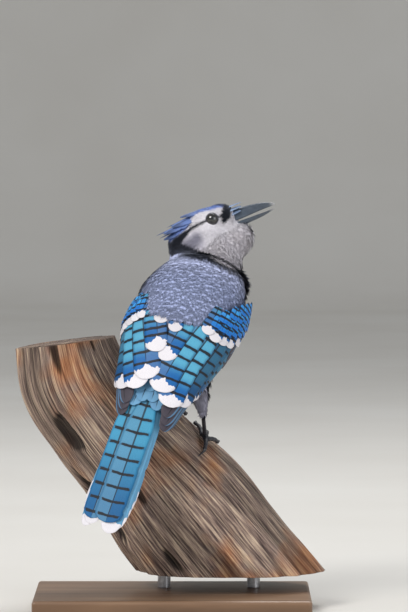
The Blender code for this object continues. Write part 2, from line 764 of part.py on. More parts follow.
def foot(side_name, side):
    """Shank, toes and claws of one leg as one body, gripping the limb."""
    travel, turn = FOOT_PLACES[side_name]
    half = limb_frame(travel)[1]
    pad = on_limb(travel, turn, PAD_RADIUS + GAP + 0.2)
    heel = np.array(HEEL_PLACES[side_name])
    pieces = []
    bm = bmesh.new()
    tube(bm, [heel, heel + (pad - heel) * 0.12, heel + (pad - heel) * 0.8, pad],
         [TARSUS_RADIUS * 1.5, TARSUS_RADIUS, TARSUS_RADIUS, PAD_RADIUS * 0.75])
    pieces.append(put_mesh("shank " + side_name, bm, SKIN_BLACK))
    bm = bmesh.new()
    swell(bm, pad, np.eye(3), (PAD_RADIUS, PAD_RADIUS, PAD_RADIUS), 10, 6)
    pieces.append(put_mesh("pad " + side_name, bm, SKIN_BLACK))
    for name, start, end, reach, claw in TOES:
        bm = bmesh.new()
        points = []
        radii = []
        knuckles = 4
        for i in range(knuckles):
            t = i / (knuckles - 1)
            bend = math.degrees(reach * t / half)
            radius = TOE_RADIUS * (1.0 - 0.25 * t)
            hump = 0.9 * math.sin(math.pi * t)
            side_step = (start + (end - start) * t) * side
            points.append(on_limb(travel + side_step, turn + bend, radius + GAP + 0.25 + hump))
            radii.append(radius)
        tip_bend = math.degrees((abs(reach) + claw) * math.copysign(1.0, reach) / half)
        middle_bend = math.degrees((abs(reach) + claw * 0.5) * math.copysign(1.0, reach) / half)
        points.append(on_limb(travel + end * side, turn + middle_bend, 2.6))
        radii.append(0.9)
        points.append(on_limb(travel + end * 1.03 * side, turn + tip_bend, 0.75))
        radii.append(0.3)
        tube(bm, points, radii, 6)
        pieces.append(put_mesh(name + " toe " + side_name, bm, SKIN_BLACK))
    return join_solids("foot_" + side_name, pieces, SKIN_BLACK)


def thigh(side_name, torso, shank):
    """The feathered shin that comes out of the belly, down to the heel."""
    bm = bmesh.new()
    root = on_trunk(*THIGH_ROOTS[side_name])
    leave = on_trunk(*THIGH_EXITS[side_name])
    heel = np.array(HEEL_PLACES[side_name])
    pad = on_limb(*FOOT_PLACES[side_name])
    end = heel - 1.6 * unit(pad - heel) + 1.5 * unit(leave - heel)
    tube(bm, [root, leave, leave + (end - leave) * 0.5, end], [9.5, 9.0, 6.0, 3.2], 10)
    shin = put_mesh("thigh_" + side_name, bm, PALE_DOWN)
    cut_away(shin, puffed(torso, "thigh_room_" + side_name, 0.5))
    cut_away(shin, puffed(shank, "heel_room_" + side_name, GAP + 0.1))
    return shin


# Head pieces
EYE_RADIUS = 4.6
EYE_OUT = 9.9
LID_WIDTH = 4.05
LID_HEIGHT = 3.75
LID_ROLL = 0.65
LID_OUT = 2.4                  # how far the rim stands before the eye's middle
BILL_SEAT_GAP = 0.35
# place ahead, half width, top, bottom of the upper bill; then of the lower one
UPPER_BILL = (
    (11.5, 4.6, 0.8, -7.6),
    (17.0, 5.0, 0.8, -7.9),
    (23.0, 4.2, -0.8, -8.0),
    (30.0, 3.2, -2.0, -8.0),
    (36.0, 2.3, -3.5, -8.1),
    (41.0, 1.3, -5.6, -8.3),
    (44.3, 0.3, -7.6, -8.4),
)
LOWER_BILL = (
    (11.5, 4.2, -8.9, -13.0),
    (17.0, 4.6, -9.2, -13.0),
    (23.0, 3.8, -9.6, -12.9),
    (30.0, 2.9, -10.0, -12.8),
    (36.0, 2.0, -10.4, -12.2),
    (42.5, 0.3, -10.4, -11.0),
)


def bill(name, rows, upper, grow=0.0):
    """One half of the bill: a domed side and a flat biting side."""
    bm = bmesh.new()
    rings = []
    longer = {0: -grow, len(rows) - 1: grow}
    for index, (place, half, top, bottom) in enumerate(rows):
        place += longer.get(index, 0.0)
        ring = []
        flat, dome = (bottom - grow, top + grow) if upper else (top + grow, bottom - grow)
        width = half + grow
        for k in range(9):
            angle = math.pi * k / 8
            ring.append(on_head(place, width * math.cos(angle), flat + (dome - flat) * math.sin(angle)))
        rings.append(ring)
    loft(bm, rings)
    if grow:
        return put_mesh(name, bm, None, cutters)
    return put_mesh(name, bm, HORN)


def eye(name, side, radius, collection=None):
    bm = bmesh.new()
    swell(bm, on_head(0.0, side * EYE_OUT, 0.0), np.eye(3), (radius,) * 3, 14, 9)
    return put_mesh(name, bm, EYE_BLACK if collection is None else None, collection)


def lid_ring(name, side):
    """The bare rim of the eyelids as a thin oval ring."""
    points = 16
    sides = 5
    bm = bmesh.new()
    rows = []
    for turn in (2 * math.pi * k / points for k in range(points)):
        row = []
        for roll in (2 * math.pi * i / sides for i in range(sides)):
            reach = LID_ROLL * math.cos(roll)
            row.append(bm.verts.new(on_head((LID_WIDTH + reach) * math.cos(turn),
                                            side * (EYE_OUT + LID_OUT + LID_ROLL * math.sin(roll)),
                                            (LID_HEIGHT + reach) * math.sin(turn))))
        rows.append(row)
    for row, after in zip(rows, rows[1:] + rows[:1]):
        for i in range(sides):
            j = (i + 1) % sides
            bm.faces.new((row[i], row[j], after[j], after[i]))
    return put_mesh(name, bm, PALE_DOWN)


MOUTH_PLACE = (15.5, 0.0, -8.4)
MOUTH_SIZE = (12.0, 40.0, 0.7)  # length, width and height of the slot


def mouth_line():
    """A thin slot back from the bill to the corner of the mouth."""
    bm = bmesh.new()
    bmesh.ops.create_cube(bm, size=1.0)
    turn = np.array([axis * size for axis, size in zip((HEAD_AHEAD, HEAD_RIGHT, HEAD_UP), MOUTH_SIZE)])
    for vert in bm.verts:
        vert.co = Vector(on_head(*MOUTH_PLACE) + np.array(vert.co) @ turn)
    return put_mesh("mouth line", bm, None, cutters)


# Crest feathers: root (ahead, up), tip (ahead, up), sideways at root and tip,
# half width.  Rows run from the nape's long ones up to the crown's short ones.
CREST_ROWS = (
    ((-15.0, 3.0), (-38.5, 1.4), (0.0, 0.0), 4.2),
    ((-14.0, 5.0), (-40.1, 4.0), (0.0, 0.0), 4.4),
    ((-14.0, 2.0), (-36.5, -0.6), (7.0, 5.0), 3.8),
    ((-12.0, 5.0), (-35.0, 3.2), (6.5, 5.0), 4.2),
    ((-7.0, 7.0), (-31.0, 6.4), (0.0, 0.0), 4.6),
    ((-6.0, 6.0), (-28.0, 5.6), (5.8, 5.6), 4.4),
    ((1.0, 7.4), (-20.0, 9.4), (3.0, 3.4), 4.4),
)
# Bristly feathers over the nostrils: root, tip (ahead, sideways, up), half width
NOSTRIL_TUFTS = (
    ((10.0, 2.2, 2.6), (24.6, 1.5, 0.5), 1.7),
    ((10.0, 4.6, 0.0), (24.0, 4.3, -2.2), 1.7),
    ((10.0, 5.0, -3.0), (21.0, 5.6, -5.0), 1.7),
)
# Beard of the raised throat: root, tip (ahead, sideways, up), half width
THROAT_LOCKS = (
    ((12.0, 0.0, -17.0), (23.6, 0.0, -15.6), 3.4),
    ((14.0, 0.0, -24.0), (24.2, 0.0, -22.6), 3.4),
    ((12.0, 6.5, -18.0), (21.0, 7.5, -16.6), 3.2),
    ((12.0, 6.5, -25.0), (20.5, 7.0, -25.0), 3.2),
    ((10.0, 3.0, -29.0), (17.5, 3.0, -31.0), 3.2),
)


def head_lock(name, root, tip, half, bow=0.8, thick=0.7):
    """One flat tapered lock on the head, bowed a little outward."""
    start = on_head(*root)
    end = on_head(*tip)
    run = unit(end - start)
    outward = on_head(*root) - on_head(-4.0, 0.0, -8.0)
    outward = unit(outward - run * np.dot(outward, run))
    across = np.cross(run, outward)

    def path(t):
        return start + (end - start) * t + outward * bow * math.sin(math.pi * t), across, outward
    return feather(name, path, half, half, LOCK_OUTLINE, thick)


def head_locks():
    pieces = []
    for index, (root, tip, spread, half) in enumerate(CREST_ROWS):
        for side in ((0.0,) if spread[0] == 0.0 else (-1.0, 1.0)):
            pieces.append(head_lock("crest %d %+d" % (index, side), (root[0], side * spread[0], root[1]),
                                    (tip[0], side * spread[1], tip[1]), half))
    for group, name, bow in ((NOSTRIL_TUFTS, "nostril tuft", 0.5), (THROAT_LOCKS, "throat lock", 0.3)):
        for index, (root, tip, half) in enumerate(group):
            for side in ((1.0,) if root[1] == 0.0 else (-1.0, 1.0)):
                pieces.append(head_lock("%s %d %+d" % (name, index, side),
                                        (root[0], side * root[1], root[2]),
                                        (tip[0], side * tip[1], tip[2]), half, bow))
    return pieces


# Places where the body is parted: a point and the direction to the head
HEAD_CUT_TOP = (-37.0, 0.0, -9.0)
HEAD_CUT_FRONT = (9.0, 0.0, -36.5)
NECK_CUT_PLACE = 83.0


def parted_body():
    """Torso, neck and head from one soft form, by two thin cuts."""
    whole = whole_body()
    nape = on_head(*HEAD_CUT_TOP)
    chin = on_head(*HEAD_CUT_FRONT)
    run = unit(chin - nape)
    head_way = unit(np.cross(HEAD_RIGHT, run))
    if np.dot(head_way, HEAD_UP) < 0:
        head_way = -head_way
    neck_point = on_trunk(NECK_CUT_PLACE)
    head = copy_of(whole, "head", CREST_BLUE)
    slice_off(head, nape + head_way * GAP / 2, -head_way)
    neck = copy_of(whole, "neck", MANTLE)
    slice_off(neck, nape - head_way * GAP / 2, head_way)
    slice_off(neck, neck_point + AHEAD * GAP / 2, -AHEAD)
    torso = copy_of(whole, "torso", MANTLE)
    slice_off(torso, neck_point - AHEAD * GAP / 2, AHEAD)
    bpy.data.objects.remove(whole, do_unlink=True)
    return torso, neck, head


def dress_head(head):
    """Crest, lids, sockets, mouth and the bill's seat on the head."""
    pieces = [head] + head_locks()
    for side_name, side in SIDES:
        pieces.append(lid_ring("lids " + side_name, side))
    head = join_solids("head", pieces, CREST_BLUE)
    for side_name, side in SIDES:
        cut_away(head, eye("socket_" + side_name, side, EYE_RADIUS + GAP, cutters))
        eye("eye_" + side_name, side, EYE_RADIUS)
    cut_away(head, bill("upper_bill_seat", UPPER_BILL, True, BILL_SEAT_GAP))
    cut_away(head, bill("lower_bill_seat", LOWER_BILL, False, BILL_SEAT_GAP))
    cut_away(head, mouth_line())
    bill("bill_upper", UPPER_BILL, True)
    bill("bill_lower", LOWER_BILL, False)
    return head


def stand():
    bm = bmesh.new()
    bmesh.ops.create_cube(bm, size=1.0)
    bmesh.ops.scale(bm, vec=(BASE_LENGTH, BASE_DEPTH, BASE_HEIGHT), verts=bm.verts)
    bmesh.ops.translate(bm, vec=(BASE_PLACE[0], BASE_PLACE[1], BASE_HEIGHT / 2), verts=bm.verts)
    board = put_mesh("stand_base", bm, STAND_WOOD)
    edge = board.modifiers.new("rounded edge", "BEVEL")
    edge.width = 2.0 * MM
    edge.segments = 2
    edge.limit_method = "ANGLE"
    for index, (x, y) in enumerate(ROD_PLACES, 1):
        bm = bmesh.new()
        low = BASE_HEIGHT + GAP
        high = LIMB_FOOT_CUT - GAP
        bmesh.ops.create_cone(bm, cap_ends=True, segments=24, radius1=ROD_WIDTH / 2,
                              radius2=ROD_WIDTH / 2, depth=high - low)
        bmesh.ops.translate(bm, vec=(x, y, (low + high) / 2), verts=bm.verts)
        put_mesh("stand_rod_%d" % index, bm, STAND_METAL)


def centre_on_origin():
    """Move every mesh so that the middle of the whole footprint is the origin."""
    bpy.context.view_layer.update()
    corners = [obj.matrix_world @ Vector(corner) for obj in model.objects for corner in obj.bound_box]
    low = Vector([min(c[i] for c in corners) for i in range(3)])
    high = Vector([max(c[i] for c in corners) for i in range(3)])
    move = Vector((-(low.x + high.x) / 2, -(low.y + high.y) / 2, -low.z))
    for obj in list(model.objects) + list(cutters.objects):
        for vert in obj.data.vertices:
            vert.co += move
    print("moved by %.2f %.2f mm" % (move.x / MM, move.y / MM))


def build():
    torso, neck, head = parted_body()
    for side_name, side in SIDES:
        cut_away(torso, wing_pocket(side_name, side))
    wing_room = puffed(torso, "wing_room", GAP + 0.15)
    clear_of_tail = tail_room()
    for side_name, side in SIDES:
        folded = cut_away(wing(side_name, side), wing_room, "MANIFOLD")
        cut_away(folded, clear_of_tail, "MANIFOLD")
    dress_head(head)
    tail(torso)
    limb()
    for side_name, side in SIDES:
        shank = foot(side_name, side)
        thigh(side_name, torso, shank)
    stand()
    centre_on_origin()


build()
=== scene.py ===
# %% [markdown]
# # Dressing a blue jay that looks up from a length of driftwood
# The solids give the true size and place of every part.  This lesson puts the
# looks over them, piece by piece: one skin, a coat of feathers that lies along
# it, barred wings and tail, bill, eyes, legs, weathered wood and a plain stand.
# Lengths in the drawing's own frame are in millimetres, as a maker would write
# them, and metres() turns them into the scene's metres.

# %% Load the solids
import json
import math

import bmesh
import bpy
import numpy as np
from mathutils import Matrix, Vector

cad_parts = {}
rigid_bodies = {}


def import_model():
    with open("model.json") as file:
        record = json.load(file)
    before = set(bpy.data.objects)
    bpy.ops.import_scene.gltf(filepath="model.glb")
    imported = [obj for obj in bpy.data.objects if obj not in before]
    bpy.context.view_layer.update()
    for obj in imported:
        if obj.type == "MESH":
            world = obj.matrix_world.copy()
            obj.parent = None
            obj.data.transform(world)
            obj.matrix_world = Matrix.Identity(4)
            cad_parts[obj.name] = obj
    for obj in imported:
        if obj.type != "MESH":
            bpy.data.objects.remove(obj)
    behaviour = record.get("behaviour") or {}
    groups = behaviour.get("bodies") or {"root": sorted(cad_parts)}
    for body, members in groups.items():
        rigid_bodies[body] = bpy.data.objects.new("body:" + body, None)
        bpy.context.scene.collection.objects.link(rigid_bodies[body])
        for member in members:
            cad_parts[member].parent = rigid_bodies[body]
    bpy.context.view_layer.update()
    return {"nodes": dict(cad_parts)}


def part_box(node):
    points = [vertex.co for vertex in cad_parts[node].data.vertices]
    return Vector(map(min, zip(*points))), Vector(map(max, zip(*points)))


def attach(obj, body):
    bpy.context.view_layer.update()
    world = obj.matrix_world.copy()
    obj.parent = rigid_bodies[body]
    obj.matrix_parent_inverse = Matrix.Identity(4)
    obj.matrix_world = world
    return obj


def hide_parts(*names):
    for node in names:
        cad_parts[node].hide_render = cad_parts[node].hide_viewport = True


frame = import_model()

MM = 0.001
BODY = "root"

# %% [markdown]
# ## The drawing's frame
# The board of the stand tells where the drawing sits in the scene, so the
# whole dress follows the solids if they are ever moved.

# %% Find the drawing's place
BASE_MIDDLE = np.array((-12.0, 12.0, 6.0))
board_low, board_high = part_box("stand_base")
SHIFT = (np.array(board_low) + np.array(board_high)) / 2 / MM - BASE_MIDDLE


def metres(points):
    return (np.asarray(points, float) + SHIFT) * MM


print("the drawing is moved by", np.round(SHIFT, 2).tolist(), "mm")

# %% [markdown]
# ## Guides of the body
# A bird's feathers follow its body, so every feather here is placed by a guide
# and not by hand.  The trunk, the head, the folded wings, the tail and the limb
# each have their own frame.  All guides take single numbers or whole arrays,
# which lets one call lay a whole feather.

# %% Small tools of geometry
def unit(vectors):
    vectors = np.asarray(vectors, float)
    return vectors / np.maximum(np.linalg.norm(vectors, axis=-1, keepdims=True), 1e-9)


def dot(a, b):
    return np.sum(np.asarray(a) * np.asarray(b), axis=-1)


def step(low, high, value):
    """0 below low, 1 above high and a soft rise between them."""
    t = np.clip((np.asarray(value, float) - low) / (high - low), 0.0, 1.0)
    return t * t * (3 - 2 * t)


def smooth_read(places, values, at):
    """Cubic Hermite reading of values at rising places, flat outside them."""
    places = np.asarray(places, float)
    values = np.asarray(values, float)
    last = len(places) - 1
    at = np.clip(np.asarray(at, float), places[0], places[-1])
    before = np.maximum(np.arange(last + 1) - 1, 0)
    after = np.minimum(np.arange(last + 1) + 1, last)
    slopes = (values[after] - values[before]) / (places[after] - places[before])
    i = np.clip(np.searchsorted(places, at, side="right") - 1, 0, last - 1)
    span = places[i + 1] - places[i]
    t = (at - places[i]) / span
    start = 2 * t ** 3 - 3 * t ** 2 + 1
    return (start * values[i] + (1 - start) * values[i + 1]
            + (t ** 3 - 2 * t ** 2 + t) * span * slopes[i] + (t ** 3 - t ** 2) * span * slopes[i + 1])


def column(table, index, at):
    return smooth_read([row[0] for row in table], [row[index] for row in table], at)


# %% Trunk and head frames
TRUNK_HEADING, TRUNK_PITCH, TRUNK_BANK = 26.5, 54.0, 17.1
TAIL_BASE = np.array((-19.1, -21.3, 154.6))
BILL_RISE = 23.5
HEAD_PLACE = np.array((15.2, 36.0, 268.3))


def trunk_axes():
    heading, pitch, bank = (math.radians(v) for v in (TRUNK_HEADING, TRUNK_PITCH, TRUNK_BANK))
    ahead = np.array((math.cos(pitch) * math.sin(heading),
                      math.cos(pitch) * math.cos(heading), math.sin(pitch)))
    level_right = np.array((math.cos(heading), -math.sin(heading), 0.0))
    right = level_right * math.cos(bank) - np.cross(level_right, ahead) * math.sin(bank)
    return ahead, right, np.cross(right, ahead)


AHEAD, RIGHT, BACK = trunk_axes()
HEAD_AHEAD = np.array((math.cos(math.radians(BILL_RISE)), 0.0, math.sin(math.radians(BILL_RISE))))
HEAD_UP = np.array((-HEAD_AHEAD[2], 0.0, HEAD_AHEAD[0]))
HEAD_RIGHT = np.array((0.0, -1.0, 0.0))


def in_frame(origin, axes, values):
    """A point from its distances along three axes, for numbers or arrays."""
    point = origin
    for axis, value in zip(axes, values):
        point = point + np.asarray(value, float)[..., None] * axis
    return point


def on_trunk(along, across=0.0, rise=0.0):
    return in_frame(TAIL_BASE, (AHEAD, RIGHT, BACK), (along, across, rise))


def on_head(ahead, right=0.0, up=0.0):
    return in_frame(HEAD_PLACE, (HEAD_AHEAD, HEAD_RIGHT, HEAD_UP), (ahead, right, up))


def head_view(points):
    """Distances ahead of the eyes, to the right and up, in the head's frame."""
    from_eyes = points - HEAD_PLACE
    return from_eyes @ HEAD_AHEAD, from_eyes @ HEAD_RIGHT, from_eyes @ HEAD_UP


def trunk_view(points):
    """Place along the trunk, degrees round it from the middle of the back."""
    from_base = points - TAIL_BASE
    along = from_base @ AHEAD
    across = from_base @ RIGHT - column(TRUNK_RINGS, 4, along)
    return along, np.degrees(np.arctan2(across, from_base @ BACK))


# Trunk: place, half width, rise to the back, drop to the belly, swing to the right
TRUNK_RINGS = (
    (0.0, 13.0, 10.5, 11.0, -3.0),
    (12.0, 19.5, 16.0, 20.0, -2.3),
    (25.0, 26.5, 21.0, 27.5, -1.5),
    (34.0, 30.0, 25.5, 31.0, -1.0),
    (42.0, 32.0, 33.5, 33.0, -0.5),
    (59.0, 35.5, 35.0, 35.5, 0.8),
    (72.0, 36.5, 35.0, 36.0, 2.0),
    (84.0, 33.5, 32.5, 33.5, 4.2),
    (97.0, 28.0, 27.5, 28.0, 6.0),
)
# Swellings of the head: centre and half sizes along the head's axes
HEAD_FORMS = {
    "skull": ((-7.0, 0.0, -3.0), (19.0, 14.0, 13.0)),
    "forehead": ((5.0, 0.0, -2.5), (12.5, 11.5, 11.3)),
    "nape": ((-20.0, 0.0, -9.0), (17.5, 14.5, 15.5)),
    "cheeks": ((-6.0, 0.0, -11.0), (16.0, 15.8, 11.5)),
    "throat": ((5.5, 0.0, -20.0), (18.5, 13.5, 14.0)),
}
NECK_PLACE = np.array((10.8, 33.0, 239.0))
NECK_HALF = (27.0, 23.5, 26.0)

# %% Wing, tail and limb guides
# Wing guide surface round the trunk: place, half width, rise
WING_GUIDE = (
    (-45.0, 18.0, 11.0),
    (-30.0, 22.0, 12.5),
    (-10.0, 26.0, 16.0),
    (10.0, 29.5, 20.0),
    (30.0, 34.0, 25.0),
    (42.0, 36.0, 27.8),
    (59.0, 36.5, 29.0),
    (74.0, 35.0, 29.5),
    (90.0, 32.0, 28.0),
)
# How far each wing stands out at its side: place, extra half width
WING_SPREAD = {
    "left": ((-40.0, 2.2), (0.0, 1.7), (25.0, 0.9), (50.0, 0.3)),
    "right": ((-20.0, 0.0), (10.0, 1.6), (30.0, 3.0), (60.0, 4.0)),
}
SIDES = {"left": -1.0, "right": 1.0}


def on_wing(side_name, along, turn, lift=0.0):
    """A point of a folded wing: along the trunk, degrees round it, height."""
    side = SIDES[side_name]
    spread = column(WING_SPREAD[side_name], 1, along)
    angle = np.radians(turn)
    half = column(WING_GUIDE, 1, along) + lift + spread * np.sin(angle)
    rise = column(WING_GUIDE, 2, along) + lift
    across = column(TRUNK_RINGS, 4, along) + side * half * np.sin(angle)
    return on_trunk(along, across, rise * np.cos(angle))


TAIL_ROOT = np.array((-24.6, -27.4, 158.8))
TAIL_RUN = unit((-0.297, -0.492, -0.818))
TAIL_ACROSS = unit(RIGHT - TAIL_RUN * np.dot(RIGHT, TAIL_RUN))
TAIL_BACK = np.cross(TAIL_ACROSS, -TAIL_RUN)


def on_tail(run, across=0.0, rise=0.0):
    return in_frame(TAIL_ROOT, (TAIL_RUN, TAIL_ACROSS, TAIL_BACK), (run, across, rise))


# Limb: centre line in the plane Y = LIMB_DEPTH with its half width
LIMB_DEPTH = 35.0
LIMB_LINE = (
    (-93.0, 240.0, 31.0),
    (-90.3, 212.4, 32.5),
    (-85.5, 184.8, 34.0),
    (-77.2, 156.6, 39.0),
    (-58.5, 128.5, 40.5),
    (-36.2, 102.3, 43.5),
    (-7.2, 66.6, 51.0),
    (31.0, 19.3, 52.0),
    (70.0, -28.0, 52.0),
)
LIMB_STEPS = [math.dist(a[:2], b[:2]) for a, b in zip(LIMB_LINE, LIMB_LINE[1:])]
LIMB_TRAVEL = np.concatenate(([0.0], np.cumsum(LIMB_STEPS)))


def limb_centre(travel):
    x = smooth_read(LIMB_TRAVEL, [row[0] for row in LIMB_LINE], travel)
    z = smooth_read(LIMB_TRAVEL, [row[1] for row in LIMB_LINE], travel)
    return np.stack((x, np.full_like(x, LIMB_DEPTH), z), axis=-1)


def limb_swell(travel, angle):
    twist = travel / 95.0
    return (1.0 + (0.045 * np.cos(2 * angle + 0.6 + twist)
                   + 0.030 * np.cos(5 * angle - 2.0 * twist)) * np.sin(angle / 2) ** 2)


def on_limb(travel, turn, lift=0.0):
    """A point on the limb: turn in degrees from its upper edge to the viewer."""
    travel = np.asarray(travel, float)
    run = unit(limb_centre(np.minimum(travel + 2.0, LIMB_TRAVEL[-1]))
               - limb_centre(np.maximum(travel - 2.0, 0.0)))
    normal = np.stack((-run[..., 2], np.zeros_like(travel), run[..., 0]), axis=-1)
    half = smooth_read(LIMB_TRAVEL, [row[2] for row in LIMB_LINE], travel)
    angle = np.radians(np.asarray(turn, float))
    reach = (half * limb_swell(travel, angle) + lift)[..., None]
    return (limb_centre(travel) + reach * (np.cos(angle)[..., None] * normal
                                           - np.sin(angle)[..., None] * np.array((0.0, 1.0, 0.0))))


print("guides ready; trunk points", np.round(AHEAD, 3).tolist())

# %% [markdown]
# ## Camera, floor and light
# The photograph was taken level with the bird through a long lens, so the
# camera stands far off and hardly looks down.  Lights are three large soft
# panels, the strongest above and to the left, as the day fell on the bird.

# %% Camera
CAMERA_DISTANCE = 3.2
CAMERA_HEIGHT_ANGLE = 2.8
LOOK_AT = metres((9.66, 20.0, 208.5))
PICTURE_HEIGHT = 0.4221        # metres across the frame's height at the bird
SENSOR = 36.0

camera_data = bpy.data.cameras.new("camera")
camera_data.sensor_width = SENSOR
camera_data.lens = SENSOR * CAMERA_DISTANCE / PICTURE_HEIGHT
camera_data.clip_end = 20.0
camera = bpy.data.objects.new("camera", camera_data)
bpy.context.scene.collection.objects.link(camera)
tilt = math.radians(CAMERA_HEIGHT_ANGLE)
camera.location = LOOK_AT + CAMERA_DISTANCE * np.array((0.0, -math.cos(tilt), math.sin(tilt)))
camera.rotation_euler = (math.radians(90.0) - tilt, 0.0, 0.0)
bpy.context.scene.camera = camera
print("camera lens %.1f mm" % camera_data.lens)


# %% Lights and surroundings
def panel(name, place, size, power, colour=(1.0, 1.0, 1.0)):
    light = bpy.data.lights.new(name, "AREA")
    light.shape = "SQUARE"
    light.size = size
    light.energy = power
    light.color = colour
    lamp = bpy.data.objects.new(name, light)
    bpy.context.scene.collection.objects.link(lamp)
    lamp.location = place
    aim = Vector(LOOK_AT) - Vector(place)
    lamp.rotation_euler = aim.to_track_quat("-Z", "Y").to_euler()
    return lamp


panel("key light", (-1.1, -1.5, 1.6), 1.0, 34.0, (1.0, 0.98, 0.95))
panel("fill light", (1.6, -1.4, 0.7), 1.4, 12.0, (0.96, 0.98, 1.0))
panel("top light", (0.3, 0.9, 1.7), 1.0, 16.0)

world = bpy.data.worlds.new("studio")
world.use_nodes = True
world.node_tree.nodes["Background"].inputs["Color"].default_value = (0.80, 0.82, 0.85, 1.0)
world.node_tree.nodes["Background"].inputs["Strength"].default_value = 0.55
bpy.context.scene.world = world
bpy.context.scene.view_settings.view_transform = "Standard"
bpy.context.scene.view_settings.look = "None"
print("three soft panels and a pale sky")

# %% [markdown]
# ## Writing meshes and materials
# Most pieces below are grids of points bent by a guide.  A few short helpers
# turn arrays into meshes, hang named values on their points and add shader
# nodes in one line each.

# %% Mesh helpers
def grid_faces(rows, columns, wrap=False):
    """Quads of a grid of points, row after row, closed round if wrap is set."""
    spans = columns if wrap else columns - 1
    i, j = np.meshgrid(np.arange(rows - 1), np.arange(spans), indexing="ij")
    k = (j + 1) % columns
    quads = np.stack((i * columns + j, i * columns + k, (i + 1) * columns + k, (i + 1) * columns + j), -1)
    return quads.reshape(-1, 4)


def new_piece(name, points, faces, smooth=True):
    """An object in the scene from points in the drawing's millimetres."""
    mesh = bpy.data.meshes.new(name)
    faces = faces.tolist() if isinstance(faces, np.ndarray) else faces
    mesh.from_pydata(metres(points).tolist(), [], faces)
    mesh.validate()
    if smooth:
        mesh.shade_smooth()
    piece = bpy.data.objects.new(name, mesh)
    bpy.context.scene.collection.objects.link(piece)
    return piece


def face_outward(piece):
    bm = bmesh.new()
    bm.from_mesh(piece.data)
    bmesh.ops.remove_doubles(bm, verts=bm.verts, dist=1e-7)
    bmesh.ops.recalc_face_normals(bm, faces=bm.faces)
    bm.to_mesh(piece.data)
    bm.free()
    return piece


KINDS = {"FLOAT": "value", "FLOAT_VECTOR": "vector", "FLOAT_COLOR": "color", "FLOAT2": "vector"}


def hang_values(mesh, name, values, kind="FLOAT", domain="POINT"):
    """Write one named value for each point or face corner."""
    layer = mesh.attributes.new(name, kind, domain)
    layer.data.foreach_set(KINDS[kind], np.asarray(values, np.float32).ravel())


def corner_points(mesh):
    index = np.empty(len(mesh.loops), np.int32)
    mesh.loops.foreach_get("vertex_index", index)
    return index


def points_of(mesh):
    flat = np.empty(len(mesh.vertices) * 3, np.float32)
    mesh.vertices.foreach_get("co", flat)
    return flat.reshape(-1, 3).astype(float) / MM - SHIFT


def plain_copy(piece):
    """Swap an object's mesh for what its modifiers make, and drop them."""
    bpy.context.view_layer.update()
    graph = bpy.context.evaluated_depsgraph_get()
    fresh = bpy.data.meshes.new_from_object(piece.evaluated_get(graph), depsgraph=graph)
    fresh.name = piece.name
    old = piece.data
    piece.modifiers.clear()
    piece.data = fresh
    bpy.data.meshes.remove(old)
    return piece


def hand_in(piece, slot, *replaced):
    """The three calls that every finished piece needs."""
    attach(piece, BODY)
    if replaced:
        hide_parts(*replaced)
    triangles = sum(len(p.vertices) - 2 for p in piece.data.polygons)
    print("%-22s %7d triangles" % (piece.name, triangles))
    return piece


# %% Node helpers
def node(tree, kind, inputs=None, **settings):
    """Add a node; an input takes a number, a colour or another node's socket."""
    made = tree.nodes.new(kind)
    for name, value in settings.items():
        setattr(made, name, value)
    for name, value in (inputs or {}).items():
        socket = made.inputs[name]
        if isinstance(value, bpy.types.NodeSocket):
            tree.links.new(value, socket)
        else:
            socket.default_value = value
    return made


def math_node(tree, operation, *values, clamp=False):
    made = node(tree, "ShaderNodeMath", dict(enumerate(values)), operation=operation, use_clamp=clamp)
    return made.outputs[0]


def ramp(tree, value, stops, easing="LINEAR"):
    """A colour ramp from (place, colour) stops."""
    made = node(tree, "ShaderNodeValToRGB", {"Fac": value})
    made.color_ramp.interpolation = easing
    elements = made.color_ramp.elements
    for index, (place, colour) in enumerate(stops):
        element = elements[index] if index < 2 else elements.new(place)
        element.position = place
        element.color = (*colour, 1.0) if len(colour) == 3 else colour
    return made.outputs["Color"]


def mix(tree, share, first, second, blend="MIX"):
    made = node(tree, "ShaderNodeMix", data_type="RGBA", blend_type=blend)
    for index, value in ((0, share), (6, first), (7, second)):
        if isinstance(value, bpy.types.NodeSocket):
            tree.links.new(value, made.inputs[index])
        elif index == 0:
            made.inputs[index].default_value = value
        else:
            made.inputs[index].default_value = (*value, 1.0)
    return made.outputs[2]


def attribute(tree, name):
    return node(tree, "ShaderNodeAttribute", attribute_name=name, attribute_type="GEOMETRY")


def new_material(name, roughness, **constants):
    """A material with plain constants set on its Principled shader."""
    material = bpy.data.materials.new(name)
    material.use_nodes = True
    shader = material.node_tree.nodes["Principled BSDF"]
    shader.inputs["Roughness"].default_value = roughness
    for socket, value in constants.items():
        shader.inputs[socket.replace("_", " ")].default_value = value
    return material, material.node_tree, shader


def sheen(shader, weight, roughness, tint):
    shader.inputs["Sheen Weight"].default_value = weight
    shader.inputs["Sheen Roughness"].default_value = roughness
    shader.inputs["Sheen Tint"].default_value = (*tint, 1.0)


def srgb(red, green, blue):
    """A colour read off, 0 to 255, as the linear values that shaders use."""
    def linear(value):
        share = value / 255.0
        return share / 12.92 if share <= 0.04045 else ((share + 0.055) / 1.055) ** 2.4
    return (linear(red), linear(green), linear(blue))


print("helpers ready")

# %% [markdown]
# ## One skin under the feathers
# Torso, neck, head and thighs are one soft body under the plumage.  The same
# ellipsoids and trunk rings as in the solids are melted together by a voxel
# remesh, here much finer, and the result is drawn in by the depth of the coat,
# so that the feathers and not the skin make the outline.

# %% Melt the body together
HEELS = {"left": np.array((-26.7, 3.0, 150.8)), "right": np.array((9.0, -3.0, 135.0))}
THIGH_ROOTS = {"left": (36.0, -13.0, -17.0), "right": (36.0, 13.0, -17.0)}
THIGH_EXITS = {"left": (27.0, -15.0, -27.0), "right": (27.0, 15.0, -28.0)}
THIGH_RADII = (9.5, 9.0, 6.2, 3.0)


